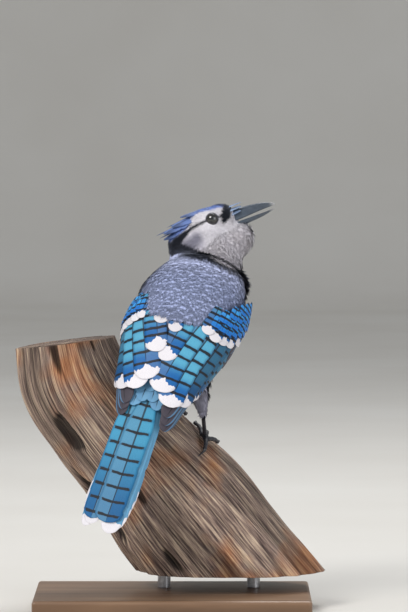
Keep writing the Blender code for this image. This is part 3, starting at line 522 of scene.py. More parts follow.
def ring_solid(rings):
    """Points and faces of closed rings skinned one after another, ends closed."""
    rings = np.asarray(rings, float)
    rows, count = rings.shape[:2]
    faces = grid_faces(rows, count, wrap=True).tolist()
    faces.append(list(range(count))[::-1])
    faces.append([(rows - 1) * count + k for k in range(count)])
    return rings.reshape(-1, 3), faces


def tube_rings(path, radii, sides=16, flatten=1.0):
    """Round rings along a path, carried along without twisting."""
    path = np.asarray(path, float)
    runs = unit(np.gradient(path, axis=0))
    across = unit(np.cross(runs[0], (0.31, 0.87, 0.38)))
    angles = np.linspace(0.0, 2 * math.pi, sides, endpoint=False)
    rings = []
    for point, run, radius in zip(path, runs, radii):
        across = unit(across - run * np.dot(across, run))
        other = np.cross(run, across)
        rings.append(point + radius * (np.cos(angles)[:, None] * across
                                       + flatten * np.sin(angles)[:, None] * other))
    return rings


def smooth_path(points, count):
    """A smooth curve through a few points, evenly read."""
    points = np.asarray(points, float)
    steps = np.linalg.norm(np.diff(points, axis=0), axis=1)
    places = np.concatenate(([0.0], np.cumsum(steps)))
    at = np.linspace(0.0, places[-1], count)
    return np.stack([smooth_read(places, points[:, k], at) for k in range(3)], axis=-1)


def ellipsoid(centre, axes, halves, rounds=40, bands=24):
    polar = np.linspace(0.04, math.pi - 0.04, bands)
    angles = np.linspace(0.0, 2 * math.pi, rounds, endpoint=False)
    rings = []
    for lean in polar:
        ball = np.stack((math.sin(lean) * np.cos(angles), math.sin(lean) * np.sin(angles),
                         np.full_like(angles, math.cos(lean))), axis=-1)
        rings.append(centre + (ball * np.asarray(halves)) @ np.asarray(axes))
    return ring_solid(rings)


def joined(shapes):
    """Several (points, faces) as one list of points and faces."""
    points, faces = [], []
    for shape_points, shape_faces in shapes:
        start = sum(len(p) for p in points)
        points.append(shape_points)
        faces += [[start + k for k in face] for face in shape_faces]
    return np.concatenate(points), faces


def trunk_rings(places, sides=64):
    rings = []
    turns = np.linspace(0.0, 2 * math.pi, sides, endpoint=False)
    for along in places:
        half, back, belly, shift = (column(TRUNK_RINGS, k, along) for k in (1, 2, 3, 4))
        rise = np.where(np.cos(turns) > 0, back, belly)
        rings.append(on_trunk(np.full_like(turns, along), shift + half * np.sin(turns), rise * np.cos(turns)))
    return rings


def melt(piece, voxel, rounds):
    remesh = piece.modifiers.new("one surface", "REMESH")
    remesh.mode = "VOXEL"
    remesh.voxel_size = voxel * MM
    soften = piece.modifiers.new("soften", "SMOOTH")
    soften.iterations = rounds
    soften.factor = 0.5
    return plain_copy(piece)


SKIN_VOXEL = 1.2
head_axes = (HEAD_AHEAD, HEAD_RIGHT, HEAD_UP)
forms = [ring_solid(trunk_rings(np.linspace(0.0, 97.0, 40)))]
for centre, halves in HEAD_FORMS.values():
    forms.append(ellipsoid(on_head(*centre), head_axes, halves))
forms.append(ellipsoid(NECK_PLACE, np.eye(3), NECK_HALF))
skin = melt(face_outward(new_piece("skin", *joined(forms))), SKIN_VOXEL, 30)

leg_paths = {}
forms = []
for side_name in SIDES:
    stops = (on_trunk(*THIGH_ROOTS[side_name]), on_trunk(*THIGH_EXITS[side_name]))
    stops += ((stops[1] + HEELS[side_name]) / 2, HEELS[side_name])
    leg_paths[side_name] = smooth_path(stops, 24)
    radii = np.interp(np.linspace(0, 3, 24), range(4), THIGH_RADII)
    forms.append(ring_solid(tube_rings(leg_paths[side_name], radii, 24)))
body_points = points_of(skin.data)
body_faces = [list(p.vertices) for p in skin.data.polygons]
bpy.data.objects.remove(skin, do_unlink=True)
skin = melt(face_outward(new_piece("skin", *joined([(body_points, body_faces)] + forms))), SKIN_VOXEL, 5)
print("skin:", len(skin.data.vertices), "points")

# %% [markdown]
# ## The spine, and where each feather points
# A curve from the tail to the bill tells three things at every point of the
# skin: how far along the body it is, how far round, and which way the feathers
# lie.  Feathers point from the bill to the tail, and down the legs.

# %% Measure the skin against the spine
SPINE = (on_trunk(-16.0), on_trunk(10.0), on_trunk(40.0), on_trunk(70.0, 3.0), NECK_PLACE + (0.0, 0.0, 2.0),
         on_head(-12.0, 0.0, -9.0), on_head(4.0, 0.0, -6.0), on_head(22.0, 0.0, -5.0))
SPINE_STEPS = 160
spine = smooth_path(SPINE, SPINE_STEPS)
spine_runs = unit(np.gradient(spine, axis=0))
turned = step(0.50, 0.80, np.linspace(0, 1, SPINE_STEPS))[:, None]
spine_right = (1 - turned) * RIGHT + turned * HEAD_RIGHT
spine_right = unit(spine_right - spine_runs * dot(spine_right, spine_runs)[:, None])
spine_back = np.cross(spine_right, spine_runs)


def along_spine(points, reach=7.0):
    """For each point: share of the spine, turn round it, and its direction."""
    share = np.empty(len(points))
    turn = np.empty(len(points))
    run = np.empty((len(points), 3))
    for start in range(0, len(points), 4000):
        some = points[start:start + 4000]
        far = np.sum((some[:, None, :] - spine[None]) ** 2, axis=-1)
        weight = np.exp(-(far - far.min(axis=1, keepdims=True)) / (2 * reach ** 2))
        weight /= weight.sum(axis=1, keepdims=True)
        here = slice(start, start + len(some))
        share[here] = weight @ np.linspace(0, 1, SPINE_STEPS)
        out = some - weight @ spine
        turn[here] = np.arctan2(dot(out, unit(weight @ spine_right)), dot(out, unit(weight @ spine_back)))
        run[here] = unit(weight @ spine_runs)
    return share, turn, run


def near_leg(points):
    """Distance to the nearer thigh's lower half, share down it and its run."""
    best = np.full(len(points), 1e9)
    run = np.zeros((len(points), 3))
    down = np.zeros(len(points))
    for path in leg_paths.values():
        runs = unit(np.gradient(path, axis=0))
        for index in range(9, len(path)):
            far = np.linalg.norm(points - path[index], axis=1)
            closer = far < best
            best[closer] = far[closer]
            run[closer] = runs[index]
            down[closer] = index / (len(path) - 1)
    return best, down, run


# %% [markdown]
# ## Markings
# Skin and coat are painted by one function of place, so that nothing shows
# through in another colour.  The head's marks are strokes seen from the side,
# in the head's own frame: white brow, black bridle from the bill through the
# eye, and the black collar that runs from the nape down the sides of the neck.

# %% The plumage's colours
MANTLE = srgb(178, 190, 232)
HIND_NECK = srgb(200, 206, 240)
CREST = srgb(118, 146, 222)
FACE = srgb(238, 234, 242)
CHEEK = srgb(212, 208, 222)
THROAT = srgb(242, 236, 244)
SOOT = srgb(20, 22, 32)
BREAST = srgb(172, 169, 186)
BELLY = srgb(214, 209, 217)
RUMP = srgb(104, 164, 206)
VENT = srgb(228, 226, 232)

# Strokes on the side of the head: (ahead, up, half width) in millimetres
BROW = ((9.6, 4.2, 1.6), (7.0, 7.4, 2.4), (1.0, 8.4, 3.0), (-5.5, 7.2, 3.2), (-10.0, 4.8, 3.0),
        (-13.4, 2.6, 1.8))
LORE = ((14.0, 5.0, 1.4), (12.8, 1.6, 2.9), (10.8, -1.8, 3.0), (8.2, -4.2, 1.8))
BRIDLE = ((12.0, -0.6, 1.1), (6.0, -0.6, 0.8), (3.5, 0.0, 0.6))
EYE_LINE = ((-4.6, 0.6, 0.9), (-10.0, 0.8, 1.0), (-15.5, 0.4, 1.3), (-20.0, -1.0, 2.0), (-26.0, -2.8, 3.0),
            (-32.0, -4.4, 3.8))
COLLAR = ((-35.0, -3.5, 4.2), (-30.0, -6.5, 4.8), (-24.0, -11.0, 4.4), (-18.5, -15.5, 3.2),
          (-13.5, -20.5, 1.6),
          (-8.0, -27.5, 0.9), (-2.0, -35.0, 0.7), (4.0, -42.0, 0.4))
FOREHEAD = ((14.5, 3.8, 1.5), (10.0, 7.0, 1.5), (6.0, 9.0, 1.1))
SMUDGE = ((-13.5, -7.5, 3.4), (-19.5, -8.8, 4.0), (-25.0, -8.0, 4.0))


def stroke(ahead, up, line, soft=0.9):
    """1 on a stroke of given half widths, 0 off it, with a soft edge."""
    best = np.full(np.shape(ahead), -1e9)
    for (f0, u0, w0), (f1, u1, w1) in zip(line, line[1:]):
        length = (f1 - f0) ** 2 + (u1 - u0) ** 2
        t = np.clip(((ahead - f0) * (f1 - f0) + (up - u0) * (u1 - u0)) / length, 0, 1)
        far = np.hypot(ahead - f0 - t * (f1 - f0), up - u0 - t * (u1 - u0))
        best = np.maximum(best, w0 + (w1 - w0) * t - far)
    return step(-soft, soft, best)


def over(colours, paint, share):
    share = np.clip(share, 0, 1)[..., None]
    return colours * (1 - share) + np.asarray(paint) * share


def plumage(points):
    """The colour of the plumage whose feathers root at these points."""
    share, turn, _ = along_spine(points)
    ahead, right, up = head_view(points)
    along, _ = trunk_view(points)
    side = np.abs(np.degrees(turn))
    colours = np.tile(np.asarray(MANTLE), (len(points), 1))
    colours = over(colours, HIND_NECK, step(72.0, 98.0, along) * 0.75)
    colours = over(colours, RUMP, step(26.0, 12.0, along) * step(110.0, 80.0, side))
    under = step(96.0, 128.0, side)
    colours = over(colours, BREAST, under)
    colours = over(colours, BELLY, under * step(62.0, 28.0, along))
    colours = over(colours, VENT, under * step(12.0, -4.0, along))
    leg, down, _ = near_leg(points)
    colours = over(colours, BREAST, step(15.0, 9.0, leg) * step(36.0, 24.0, along))
    # Which side of the collar a point lies on, seen from the side
    collar_up = np.interp(ahead, [row[0] for row in COLLAR], [row[1] for row in COLLAR])
    fore = step(-1.5, 1.5, up - collar_up) * step(-36.0, -31.0, ahead)
    head = np.where(ahead > 13.0, step(-47.0, -44.0, up), fore)
    face = np.tile(np.asarray(FACE), (len(points), 1))
    face = over(face, CHEEK, step(-7.0, -14.0, ahead) * step(0.0, -6.0, up) * step(-24.0, -17.0, up))
    face = over(face, THROAT, step(-12.0, -18.0, up))
    face = over(face, srgb(96, 96, 116), 0.7 * stroke(ahead, up, SMUDGE, 3.0))
    crown_up = np.interp(ahead, (-34.0, -20.0, -13.5, -7.0, 0.0, 7.0, 13.0),
                         (-1.5, 1.0, 3.6, 7.4, 9.3, 8.9, 4.6))
    crown = step(-0.7, 0.7, up - crown_up)
    crown = np.maximum(crown, step(8.0, 5.5, np.abs(right)) * step(2.0, 5.0, up))
    face = over(face, CREST, crown * step(17.0, 14.5, ahead))
    face = over(face, FACE, stroke(ahead, up, BROW, 0.8) * step(5.0, 8.0, np.abs(right)))
    colours = colours * (1 - head[:, None]) + face * head[:, None]
    colours = over(colours, SOOT, stroke(ahead, up, COLLAR, 1.0) * 0.97)
    colours = over(colours, SOOT, stroke(ahead, up, EYE_LINE, 0.7) * step(4.0, 7.0, np.abs(right)))
    colours = over(colours, SOOT, stroke(ahead, up, LORE, 0.7))
    colours = over(colours, SOOT, stroke(ahead, up, BRIDLE, 0.5))
    colours = over(colours, SOOT, 0.8 * stroke(ahead, up, FOREHEAD, 0.5))
    return colours


skin_points = points_of(skin.data)
skin_share, skin_turn, skin_run = along_spine(skin_points)
print("spine %.0f mm, shares %.2f to %.2f" % (
    np.linalg.norm(np.diff(spine, axis=0), axis=1).sum(), skin_share.min(), skin_share.max()))


# %% Draw the skin in by the coat's depth
def coat_depth(points):
    """Thin on the face, thicker on the body, thin again at the heel."""
    ahead, right, up = head_view(points)
    face = step(-22.0, -8.0, ahead) * step(-26.0, -14.0, up)
    leg, down, _ = near_leg(points)
    depth = 1.9 - 1.1 * face
    return np.where((leg < 11.0) & (down > 0.6), 0.9, depth)


def normals_of(mesh):
    flat = np.empty(len(mesh.vertices) * 3, np.float32)
    mesh.vertex_normals.foreach_get("vector", flat)
    return flat.reshape(-1, 3).astype(float)


skin_normals = normals_of(skin.data)
skin_points = skin_points - skin_normals * coat_depth(skin_points)[:, None]
skin.data.vertices.foreach_set("co", metres(skin_points).astype(np.float32).ravel())
skin.data.update()
skin_paint = plumage(skin_points)

lie = -skin_run
leg_far, leg_down, leg_run = near_leg(skin_points)
on_leg = (step(14.0, 8.0, leg_far) * step(0.4, 0.6, leg_down))[:, None]
lie = lie * (1 - on_leg) + leg_run * on_leg
lie = unit(lie - skin_normals * dot(lie, skin_normals)[:, None])

hang_values(skin.data, "paint", np.column_stack((skin_paint, np.ones(len(skin_paint)))), "FLOAT_COLOR")
hang_values(skin.data, "lie", lie, "FLOAT_VECTOR")
# The unwrap: turn round the spine and share along it, unbroken inside each face
corner = corner_points(skin.data)
round_share = (skin_turn / (2 * math.pi) + 0.5)[corner]
starts = np.array([p.loop_start for p in skin.data.polygons])
first = np.repeat(round_share[starts], [p.loop_total for p in skin.data.polygons])
round_share = round_share - np.round(round_share - first)
unwrap = np.column_stack((round_share, 0.02 + 0.96 * skin_share[corner]))
hang_values(skin.data, "unwrap", unwrap, "FLOAT2", "CORNER")
print("markings and lie are on the skin")

# %% [markdown]
# ## Finish of down and feather
# A feather is many fine barbs set aslant on a shaft.  At this size the barbs
# are drawn by one node group, as slanting lines from the feather's own map,
# which give a fine grain to the colour and to the bump.  Every feather material
# places the same group with its own colour.

# %% The barb group
barbs = bpy.data.node_groups.new("barbs", "ShaderNodeTree")
barbs.interface.new_socket("Colour", in_out="INPUT", socket_type="NodeSocketColor")
for socket_name, start_value in (("Lines", 26.0), ("Slant", 9.0), ("Contrast", 0.25), ("Variation", 0.16)):
    made = barbs.interface.new_socket(socket_name, in_out="INPUT", socket_type="NodeSocketFloat")
    made.default_value = start_value
barbs.interface.new_socket("Colour", in_out="OUTPUT", socket_type="NodeSocketColor")
barbs.interface.new_socket("Height", in_out="OUTPUT", socket_type="NodeSocketFloat")
group_in = node(barbs, "NodeGroupInput")
vane_map = node(barbs, "ShaderNodeUVMap", uv_map="vane")
parts = node(barbs, "ShaderNodeSeparateXYZ", {0: vane_map.outputs[0]})
tone = attribute(barbs, "tone")
from_shaft = math_node(barbs, "ABSOLUTE", math_node(barbs, "SUBTRACT", parts.outputs["X"], 0.5))
slanted = math_node(barbs, "SUBTRACT", math_node(barbs, "MULTIPLY", parts.outputs["Y"],
                                                 group_in.outputs["Lines"]),
                    math_node(barbs, "MULTIPLY", from_shaft, group_in.outputs["Slant"]))
wander = node(barbs, "ShaderNodeTexNoise", {"Vector": node(barbs, "ShaderNodeTexCoord").outputs["Object"],
                                            "Scale": 900.0, "Detail": 2.0})
slanted = math_node(barbs, "ADD", slanted, math_node(barbs, "MULTIPLY", wander.outputs["Fac"], 2.2))
line = math_node(barbs, "PINGPONG", slanted, 0.5)
lift = math_node(barbs, "MULTIPLY", line, 2.0)
shade = math_node(barbs, "SUBTRACT", 1.0, math_node(barbs, "MULTIPLY", math_node(
    barbs, "SUBTRACT", 1.0, lift), group_in.outputs["Contrast"]))
vary = math_node(barbs, "ADD", 1.0, math_node(barbs, "MULTIPLY", math_node(
    barbs, "SUBTRACT", tone.outputs["Fac"], 0.5), group_in.outputs["Variation"]))
grey = node(barbs, "ShaderNodeCombineColor", {k: math_node(barbs, "MULTIPLY", shade, vary) for k in range(3)})
shaded = node(barbs, "ShaderNodeMix", data_type="RGBA", blend_type="MULTIPLY")
shaded.inputs[0].default_value = 1.0
barbs.links.new(group_in.outputs["Colour"], shaded.inputs[6])
barbs.links.new(grey.outputs[0], shaded.inputs[7])
node(barbs, "NodeGroupOutput", {"Colour": shaded.outputs[2], "Height": lift})


def with_barbs(tree, shader, colour, lines, slant, contrast, variation, bump, body_share=0.0):
    """Place the barb group between a colour and the shader.  Body feathers take
    most of their shading from the body under them, as down scatters the light."""
    placed = node(tree, "ShaderNodeGroup", node_tree=barbs)
    for name, value in (("Lines", lines), ("Slant", slant), ("Contrast", contrast), ("Variation", variation)):
        placed.inputs[name].default_value = value
    tree.links.new(colour, placed.inputs["Colour"])
    tree.links.new(placed.outputs["Colour"], shader.inputs["Base Color"])
    raised = node(tree, "ShaderNodeBump",
                  {"Height": placed.outputs["Height"], "Strength": bump, "Distance": 0.0002})
    if body_share:
        body_way = node(tree, "ShaderNodeVectorMath", {0: attribute(tree, "out").outputs["Vector"],
                                                       1: (body_share,) * 3,
                                                       2: node(tree,
                                                               "ShaderNodeNewGeometry").outputs["Normal"]},
                        operation="MULTIPLY_ADD")
        even = node(tree, "ShaderNodeVectorMath", {0: body_way.outputs[0]}, operation="NORMALIZE")
        tree.links.new(even.outputs[0], raised.inputs["Normal"])
    tree.links.new(raised.outputs["Normal"], shader.inputs["Normal"])
    return placed


# %% Body feather and skin materials
body_finish, tree, shader = new_material("body feathers", 0.78, Specular_IOR_Level=0.2)
sheen(shader, 0.25, 0.5, srgb(215, 225, 250))
with_barbs(tree, shader, attribute(tree, "paint").outputs["Color"], 16.0, 7.0, 0.10, 0.10, 0.2, 6.0)

down_finish, tree, shader = new_material("down", 0.9, Specular_IOR_Level=0.15)
sheen(shader, 0.2, 0.5, srgb(225, 228, 245))
coords = node(tree, "ShaderNodeTexCoord")
down = node(tree, "ShaderNodeTexNoise", {"Vector": coords.outputs["Object"], "Scale": 700.0, "Detail": 4.0})
darker = ramp(tree, down.outputs["Fac"], ((0.3, (0.74, 0.74, 0.77)), (0.7, (1.0, 1.0, 1.0))))
painted = mix(tree, 1.0, attribute(tree, "paint").outputs["Color"], darker, "MULTIPLY")
tree.links.new(painted, shader.inputs["Base Color"])
raised = node(tree, "ShaderNodeBump", {"Height": down.outputs["Fac"], "Strength": 0.5, "Distance": 0.0004})
tree.links.new(raised.outputs["Normal"], shader.inputs["Normal"])
skin.data.materials.append(down_finish)
hand_in(skin, "mantle_feathers", "torso", "neck", "head", "thigh_left", "thigh_right")

# %% [markdown]
# ## The coat
# Thousands of small feathers cover a bird like tiles.  Each is copied from a few
# cupped vanes whose tips are split into barbs, so that edges look soft and not
# cut.  Geometry Nodes scatter the roots over the skin, turn each copy along the
# lie, make the copies real and give each its own small patch on the coat's map.

# %% Cut the feather patterns
def feather_pattern(name, teeth, rows, body, cup, curl, width_at, seed):
    """One closed feather, 1 long along X and 1 wide: a cupped top whose tip is
    split into teeth, closed below by one face."""
    rng = np.random.default_rng(seed)
    points, marks = [], []

    def put(t, u):
        x = t * (1.0 - 0.16 * u * u * t)
        points.append((x, 0.5 * u * width_at(t), -cup * u * u + curl * t * t - cup * 0.2))
        marks.append((0.5 + 0.5 * u, t))
        return len(points) - 1
    grid = [[put(body * r / rows, -1.0 + 2.0 * j / teeth) for j in range(teeth + 1)] for r in range(rows + 1)]
    tips = []
    for j in range(teeth):
        u = -1.0 + 2.0 * (j + 0.5) / teeth + rng.uniform(-0.4, 0.4) / teeth
        tips.append(put(1.0 - 0.12 * rng.random() - 0.10 * u * u, 0.92 * u))
    faces = []
    for r in range(rows):
        faces += [(grid[r][j], grid[r + 1][j], grid[r + 1][j + 1], grid[r][j + 1]) for j in range(teeth)]
    faces += [(grid[rows][j], tips[j], grid[rows][j + 1]) for j in range(teeth)]
    rim = grid[0] + [row[-1] for row in grid[1:-1]] + [grid[-1][-1]]
    for j in range(teeth - 1, -1, -1):
        rim += [tips[j], grid[-1][j]]
    rim += [row[0] for row in grid[-2:0:-1]]
    faces.append(rim)
    mesh = bpy.data.meshes.new(name)
    mesh.from_pydata(points, [], faces)
    mesh.shade_smooth()
    hang_values(mesh, "vane", np.array(marks)[corner_points(mesh)], "FLOAT2", "CORNER")
    edge_of = {tuple(sorted(edge.vertices)): edge for edge in mesh.edges}
    for a, b in zip(rim, rim[1:] + rim[:1]):
        edge_of[tuple(sorted((a, b)))].use_edge_sharp = True
    return bpy.data.objects.new(name, mesh)


def oval_width(t):
    return 0.45 + 0.55 * math.sin(math.pi * min(0.12 + 0.62 * t, 1.0)) - 0.15 * t


def lance_width(t):
    return (0.6 + 0.4 * math.sin(math.pi * min(t + 0.1, 1.0))) * (1.0 - 0.45 * t ** 3)


patterns = {}
for kind, teeth, rows, body, cup, curl, width_at in (
        ("contour", 7, 2, 0.66, 0.025, 0.02, oval_width),
        ("small", 3, 2, 0.60, 0.035, 0.03, lance_width),
        ("wisp", 3, 3, 0.50, 0.03, 0.10, lance_width)):
    patterns[kind] = bpy.data.collections.new(kind + " patterns")
    for seed in range(3):
        patterns[kind].objects.link(feather_pattern("%s %d" % (kind, seed), teeth, rows, body, cup, curl,
                                                    width_at, seed))
    sample = patterns[kind].objects[0].data
    print(kind, "pattern:", sum(len(p.vertices) - 2 for p in sample.polygons), "triangles")


# %% Build the tree that lays feathers
def laying_tree():
    tree = bpy.data.node_groups.new("lay feathers", "GeometryNodeTree")
    tree.interface.new_socket("Geometry", in_out="INPUT", socket_type="NodeSocketGeometry")
    for name, kind in (("Patterns", "Collection"), ("Finish", "Material"), ("Seed", "Int"),
                       ("Spacing", "Float"),
                       ("Length", "Float"), ("Width", "Float"), ("Lift", "Float"), ("Ruffle", "Float"),
                       ("Patch", "Float")):
        tree.interface.new_socket(name, in_out="INPUT", socket_type="NodeSocket" + kind)
    tree.interface.new_socket("Geometry", in_out="OUTPUT", socket_type="NodeSocketGeometry")
    given = node(tree, "NodeGroupInput").outputs

    def drawn(low, high, seed):
        made = node(tree, "FunctionNodeRandomValue", {"Seed": seed}, data_type="FLOAT")
        for index, value in ((2, low), (3, high)):
            if isinstance(value, bpy.types.NodeSocket):
                tree.links.new(value, made.inputs[index])
            else:
                made.inputs[index].default_value = value
        return made.outputs[1]

    def named(name, kind):
        made = node(tree, "GeometryNodeInputNamedAttribute", data_type=kind)
        made.inputs["Name"].default_value = name
        return made.outputs["Attribute"]

    density = math_node(tree, "DIVIDE", 2.2, math_node(tree, "MULTIPLY", given["Spacing"], given["Spacing"]))
    roots = node(tree, "GeometryNodeDistributePointsOnFaces",
                 {"Mesh": given["Geometry"], "Distance Min": given["Spacing"], "Density Max": density,
                  "Seed": given["Seed"]}, distribute_method="POISSON")
    toned = node(tree, "GeometryNodeStoreNamedAttribute",
                 {"Geometry": roots.outputs["Points"], "Name": "tone", "Value": drawn(0.0, 1.0, 11)},
                 data_type="FLOAT", domain="POINT")
    aimed = node(tree, "FunctionNodeAxesToRotation",
                 {"Primary Axis": named("out", "FLOAT_VECTOR"),
                  "Secondary Axis": named("lie", "FLOAT_VECTOR")},
                 primary_axis="Z", secondary_axis="X")
    ruffle_down = math_node(tree, "MULTIPLY", given["Ruffle"], -1.0)
    raised = math_node(tree, "SUBTRACT", math_node(tree, "MULTIPLY", given["Lift"], -1.0),
                       drawn(0.0, math_node(tree, "MULTIPLY", given["Ruffle"], 0.7), 12))
    lean = node(tree, "ShaderNodeCombineXYZ", {"X": drawn(ruffle_down, given["Ruffle"], 13), "Y": raised,
                                               "Z": drawn(ruffle_down, given["Ruffle"], 14)})
    turned_by = node(tree, "FunctionNodeEulerToRotation", {0: lean.outputs[0]})
    turned = node(tree, "FunctionNodeRotateRotation",
                  {"Rotation": aimed.outputs[0], "Rotate By": turned_by.outputs[0]}, rotation_space="LOCAL")
    size = named("size", "FLOAT")
    length = math_node(tree, "MULTIPLY", math_node(tree, "MULTIPLY", given["Length"], size),
                       drawn(0.85, 1.2, 15))
    width = math_node(tree, "MULTIPLY", math_node(tree, "MULTIPLY", given["Width"], size),
                      drawn(0.85, 1.15, 16))
    scale = node(tree, "ShaderNodeCombineXYZ", {"X": length, "Y": width, "Z": length})
    chosen = node(tree, "GeometryNodeCollectionInfo",
                  {"Collection": given["Patterns"], "Separate Children": True,
                                                       "Reset Children": True})
    pick = node(tree, "FunctionNodeRandomValue", {"Seed": 17}, data_type="INT")
    pick.inputs[4].default_value = 0
    pick.inputs[5].default_value = 2
    laid = node(tree, "GeometryNodeInstanceOnPoints",
                {"Points": toned.outputs[0], "Instance": chosen.outputs[0], "Pick Instance": True,
                 "Instance Index": pick.outputs[2], "Rotation": turned.outputs[0], "Scale": scale.outputs[0]})
    real = node(tree, "GeometryNodeRealizeInstances", {"Geometry": laid.outputs[0]})
    centre = node(tree, "ShaderNodeVectorMath", {0: named("unwrap", "FLOAT_VECTOR")}, operation="FRACTION")
    inside = node(tree, "ShaderNodeVectorMath", {0: centre.outputs[0], 1: (0.996, 0.996, 0.0),
                                                 2: (0.002, 0.002, 0.0)}, operation="MULTIPLY_ADD")
    from_middle = node(tree, "ShaderNodeVectorMath", {0: named("vane", "FLOAT_VECTOR"), 1: (0.5, 0.5, 0.0)},
                       operation="SUBTRACT")
    offset = node(tree, "ShaderNodeVectorMath", {0: from_middle.outputs[0], "Scale": given["Patch"]},
                  operation="SCALE")
    place = node(tree, "ShaderNodeVectorMath", {0: inside.outputs[0], 1: offset.outputs[0]})
    mapped = node(tree, "GeometryNodeStoreNamedAttribute",
                  {"Geometry": real.outputs[0], "Name": "OFBake", "Value": place.outputs[0]},
                  data_type="FLOAT2", domain="CORNER")
    finished = node(tree, "GeometryNodeSetMaterial",
                    {"Geometry": mapped.outputs[0], "Material": given["Finish"]})
    node(tree, "NodeGroupOutput", {"Geometry": finished.outputs[0]})
    return tree


def set_inputs(modifier, **values):
    """Set a tree's named inputs by their sockets' identifiers."""
    for item in modifier.node_group.interface.items_tree:
        if item.item_type == "SOCKET" and item.in_out == "INPUT" and item.name in values:
            modifier[item.identifier] = values[item.name]


laying = laying_tree()
print("the laying tree has", len(laying.nodes), "nodes")

# %% Zones of the coat
ahead, right, up = head_view(skin_points)
along, trunk_turn = trunk_view(skin_points)
side_turn = np.abs(np.degrees(skin_turn))
sideways = np.abs(right)
collar_line = np.interp(ahead, [row[0] for row in COLLAR], [row[1] for row in COLLAR])
on_head_zone = ((up > collar_line) & (ahead > -36.0)) | (skin_share > 0.86)
round_eye = (np.hypot(ahead, up) < 3.9) & (sideways > 7.0)
under_bill = (ahead > 14.0) & (sideways < 4.4) & (up < 0.6) & (up > -12.5)
legs = (leg_far < 12.0) & (leg_down > 0.45) & (along < 34.0)
# The mantle's lower edge over the folded wings: degrees round, place along
MANTLE_EDGE = ((-110, 56), (-66, 50), (-33, 40), (0, 36), (30, 38), (52, 43), (60, 53), (110, 74))
edge = np.interp(trunk_turn, [row[0] for row in MANTLE_EDGE], [row[1] for row in MANTLE_EDGE])
upper = np.abs(trunk_turn) < 104.0
under_wing = upper & (along < edge + 5.0) & (along > 6.0)
bare = round_eye | under_bill
trunk_zone = ~on_head_zone & ~legs
zones = {
    "coat_face": on_head_zone & (ahead > -15.0) & (up > -13.0) & ~bare,
    "coat_crown": on_head_zone & (ahead <= -15.0) & (up > -13.0),
    "coat_throat": on_head_zone & (up <= -13.0) & ~bare,
    "coat_nape": trunk_zone & (skin_share > 0.62) & (side_turn < 100.0),
    "coat_mantle": trunk_zone & (skin_share <= 0.62) & upper & ~under_wing & (along > 20.0),
    "coat_breast": trunk_zone & ~upper & (along > 40.0),
    "coat_belly": trunk_zone & ~upper & (along <= 40.0),
    "coat_rump": trunk_zone & upper & (along <= 20.0) & ~under_wing,
    "coat_thighs": legs & ~on_head_zone,
}
zones["coat_breast"] |= trunk_zone & (skin_share > 0.62) & (side_turn >= 100.0)
# pattern, spacing, length, width in millimetres, lift and ruffle in degrees, slot
LAYS = {
    "coat_face": ("small", 0.62, 2.7, 1.3, 10.0, 9.0, "head_feathers"),
    "coat_crown": ("small", 0.75, 4.6, 1.9, 6.0, 6.0, "head_feathers"),
    "coat_throat": ("wisp", 0.80, 5.2, 1.5, 12.0, 10.0, "head_feathers"),
    "coat_nape": ("small", 0.90, 6.5, 2.2, 6.0, 2.5, "mantle_feathers"),
    "coat_mantle": ("contour", 1.25, 8.5, 3.6, 6.0, 1.8, "mantle_feathers"),
    "coat_breast": ("contour", 1.45, 9.0, 4.6, 7.0, 6.0, "pale_feathers"),
    "coat_belly": ("contour", 1.70, 11.0, 5.4, 7.0, 6.0, "pale_feathers"),
    "coat_rump": ("contour", 1.60, 11.0, 5.4, 6.0, 5.0, "mantle_feathers"),
    "coat_thighs": ("small", 1.00, 6.0, 2.4, 7.0, 7.0, "pale_feathers"),
}
PATCH = 0.003
hang_values(skin.data, "out", normals_of(skin.data), "FLOAT_VECTOR")
near_eye = step(4.0, 9.0, np.hypot(ahead, up)) + (sideways < 7.0)
hang_values(skin.data, "size", 0.55 + 0.45 * np.clip(near_eye, 0, 1))


def skin_patch(name, inside):
    """A copy of the skin that keeps only the faces of one zone."""
    patch = bpy.data.objects.new(name, skin.data.copy())
    patch.data.name = name
    bpy.context.scene.collection.objects.link(patch)
    bm = bmesh.new()
    bm.from_mesh(patch.data)
    bm.verts.ensure_lookup_table()
    outside = [face for face in bm.faces if not inside[face.verts[0].index]]
    bmesh.ops.delete(bm, geom=outside, context="FACES")
    bm.to_mesh(patch.data)
    bm.free()
    return patch


# %% Lay the coat zone by zone
for number, (zone_name, (kind, spacing, length, width, lift, ruffle, slot)) in enumerate(LAYS.items()):
    coat = skin_patch(zone_name, zones[zone_name])
    modifier = coat.modifiers.new("lay feathers", "NODES")
    modifier.node_group = laying
    set_inputs(modifier, Patterns=patterns[kind], Finish=body_finish, Seed=number + 5, Spacing=spacing * MM,
               Length=length * MM, Width=width * MM, Lift=math.radians(lift), Ruffle=math.radians(ruffle),
               Patch=PATCH)
    plain_copy(coat)
    for spare in ("lie", "size", "unwrap"):
        if spare in coat.data.attributes:
            coat.data.attributes.remove(coat.data.attributes[spare])
    hand_in(coat, slot)
for collection in patterns.values():
    for pattern in list(collection.objects):
        bpy.data.objects.remove(pattern)

# %% [markdown]
# ## Flight feathers
# A jay's wings and tail are read feather by feather: each has its own length,
# bars and white tip, so each is modelled as a closed vane with a raised shaft,
# laid on its own line over the guide.  Every vane has a cell of its own on the
# map, so that its bars stay sharp, and carries measures that its material
# reads: millimetres from the tip and from the shaft, length of the white tip,
# spacing of the bars and how dusky it is.

# %% A sheaf of vanes as one mesh
VANE_ROWS = 34
VANE_SHARES = np.array((-1.0, -0.78, -0.45, -0.16, -0.04, 0.04, 0.16, 0.45, 0.78, 1.0))
VANE_THICK = 0.34
SHAFT_RISE = 0.26
CUSHION = 0.16


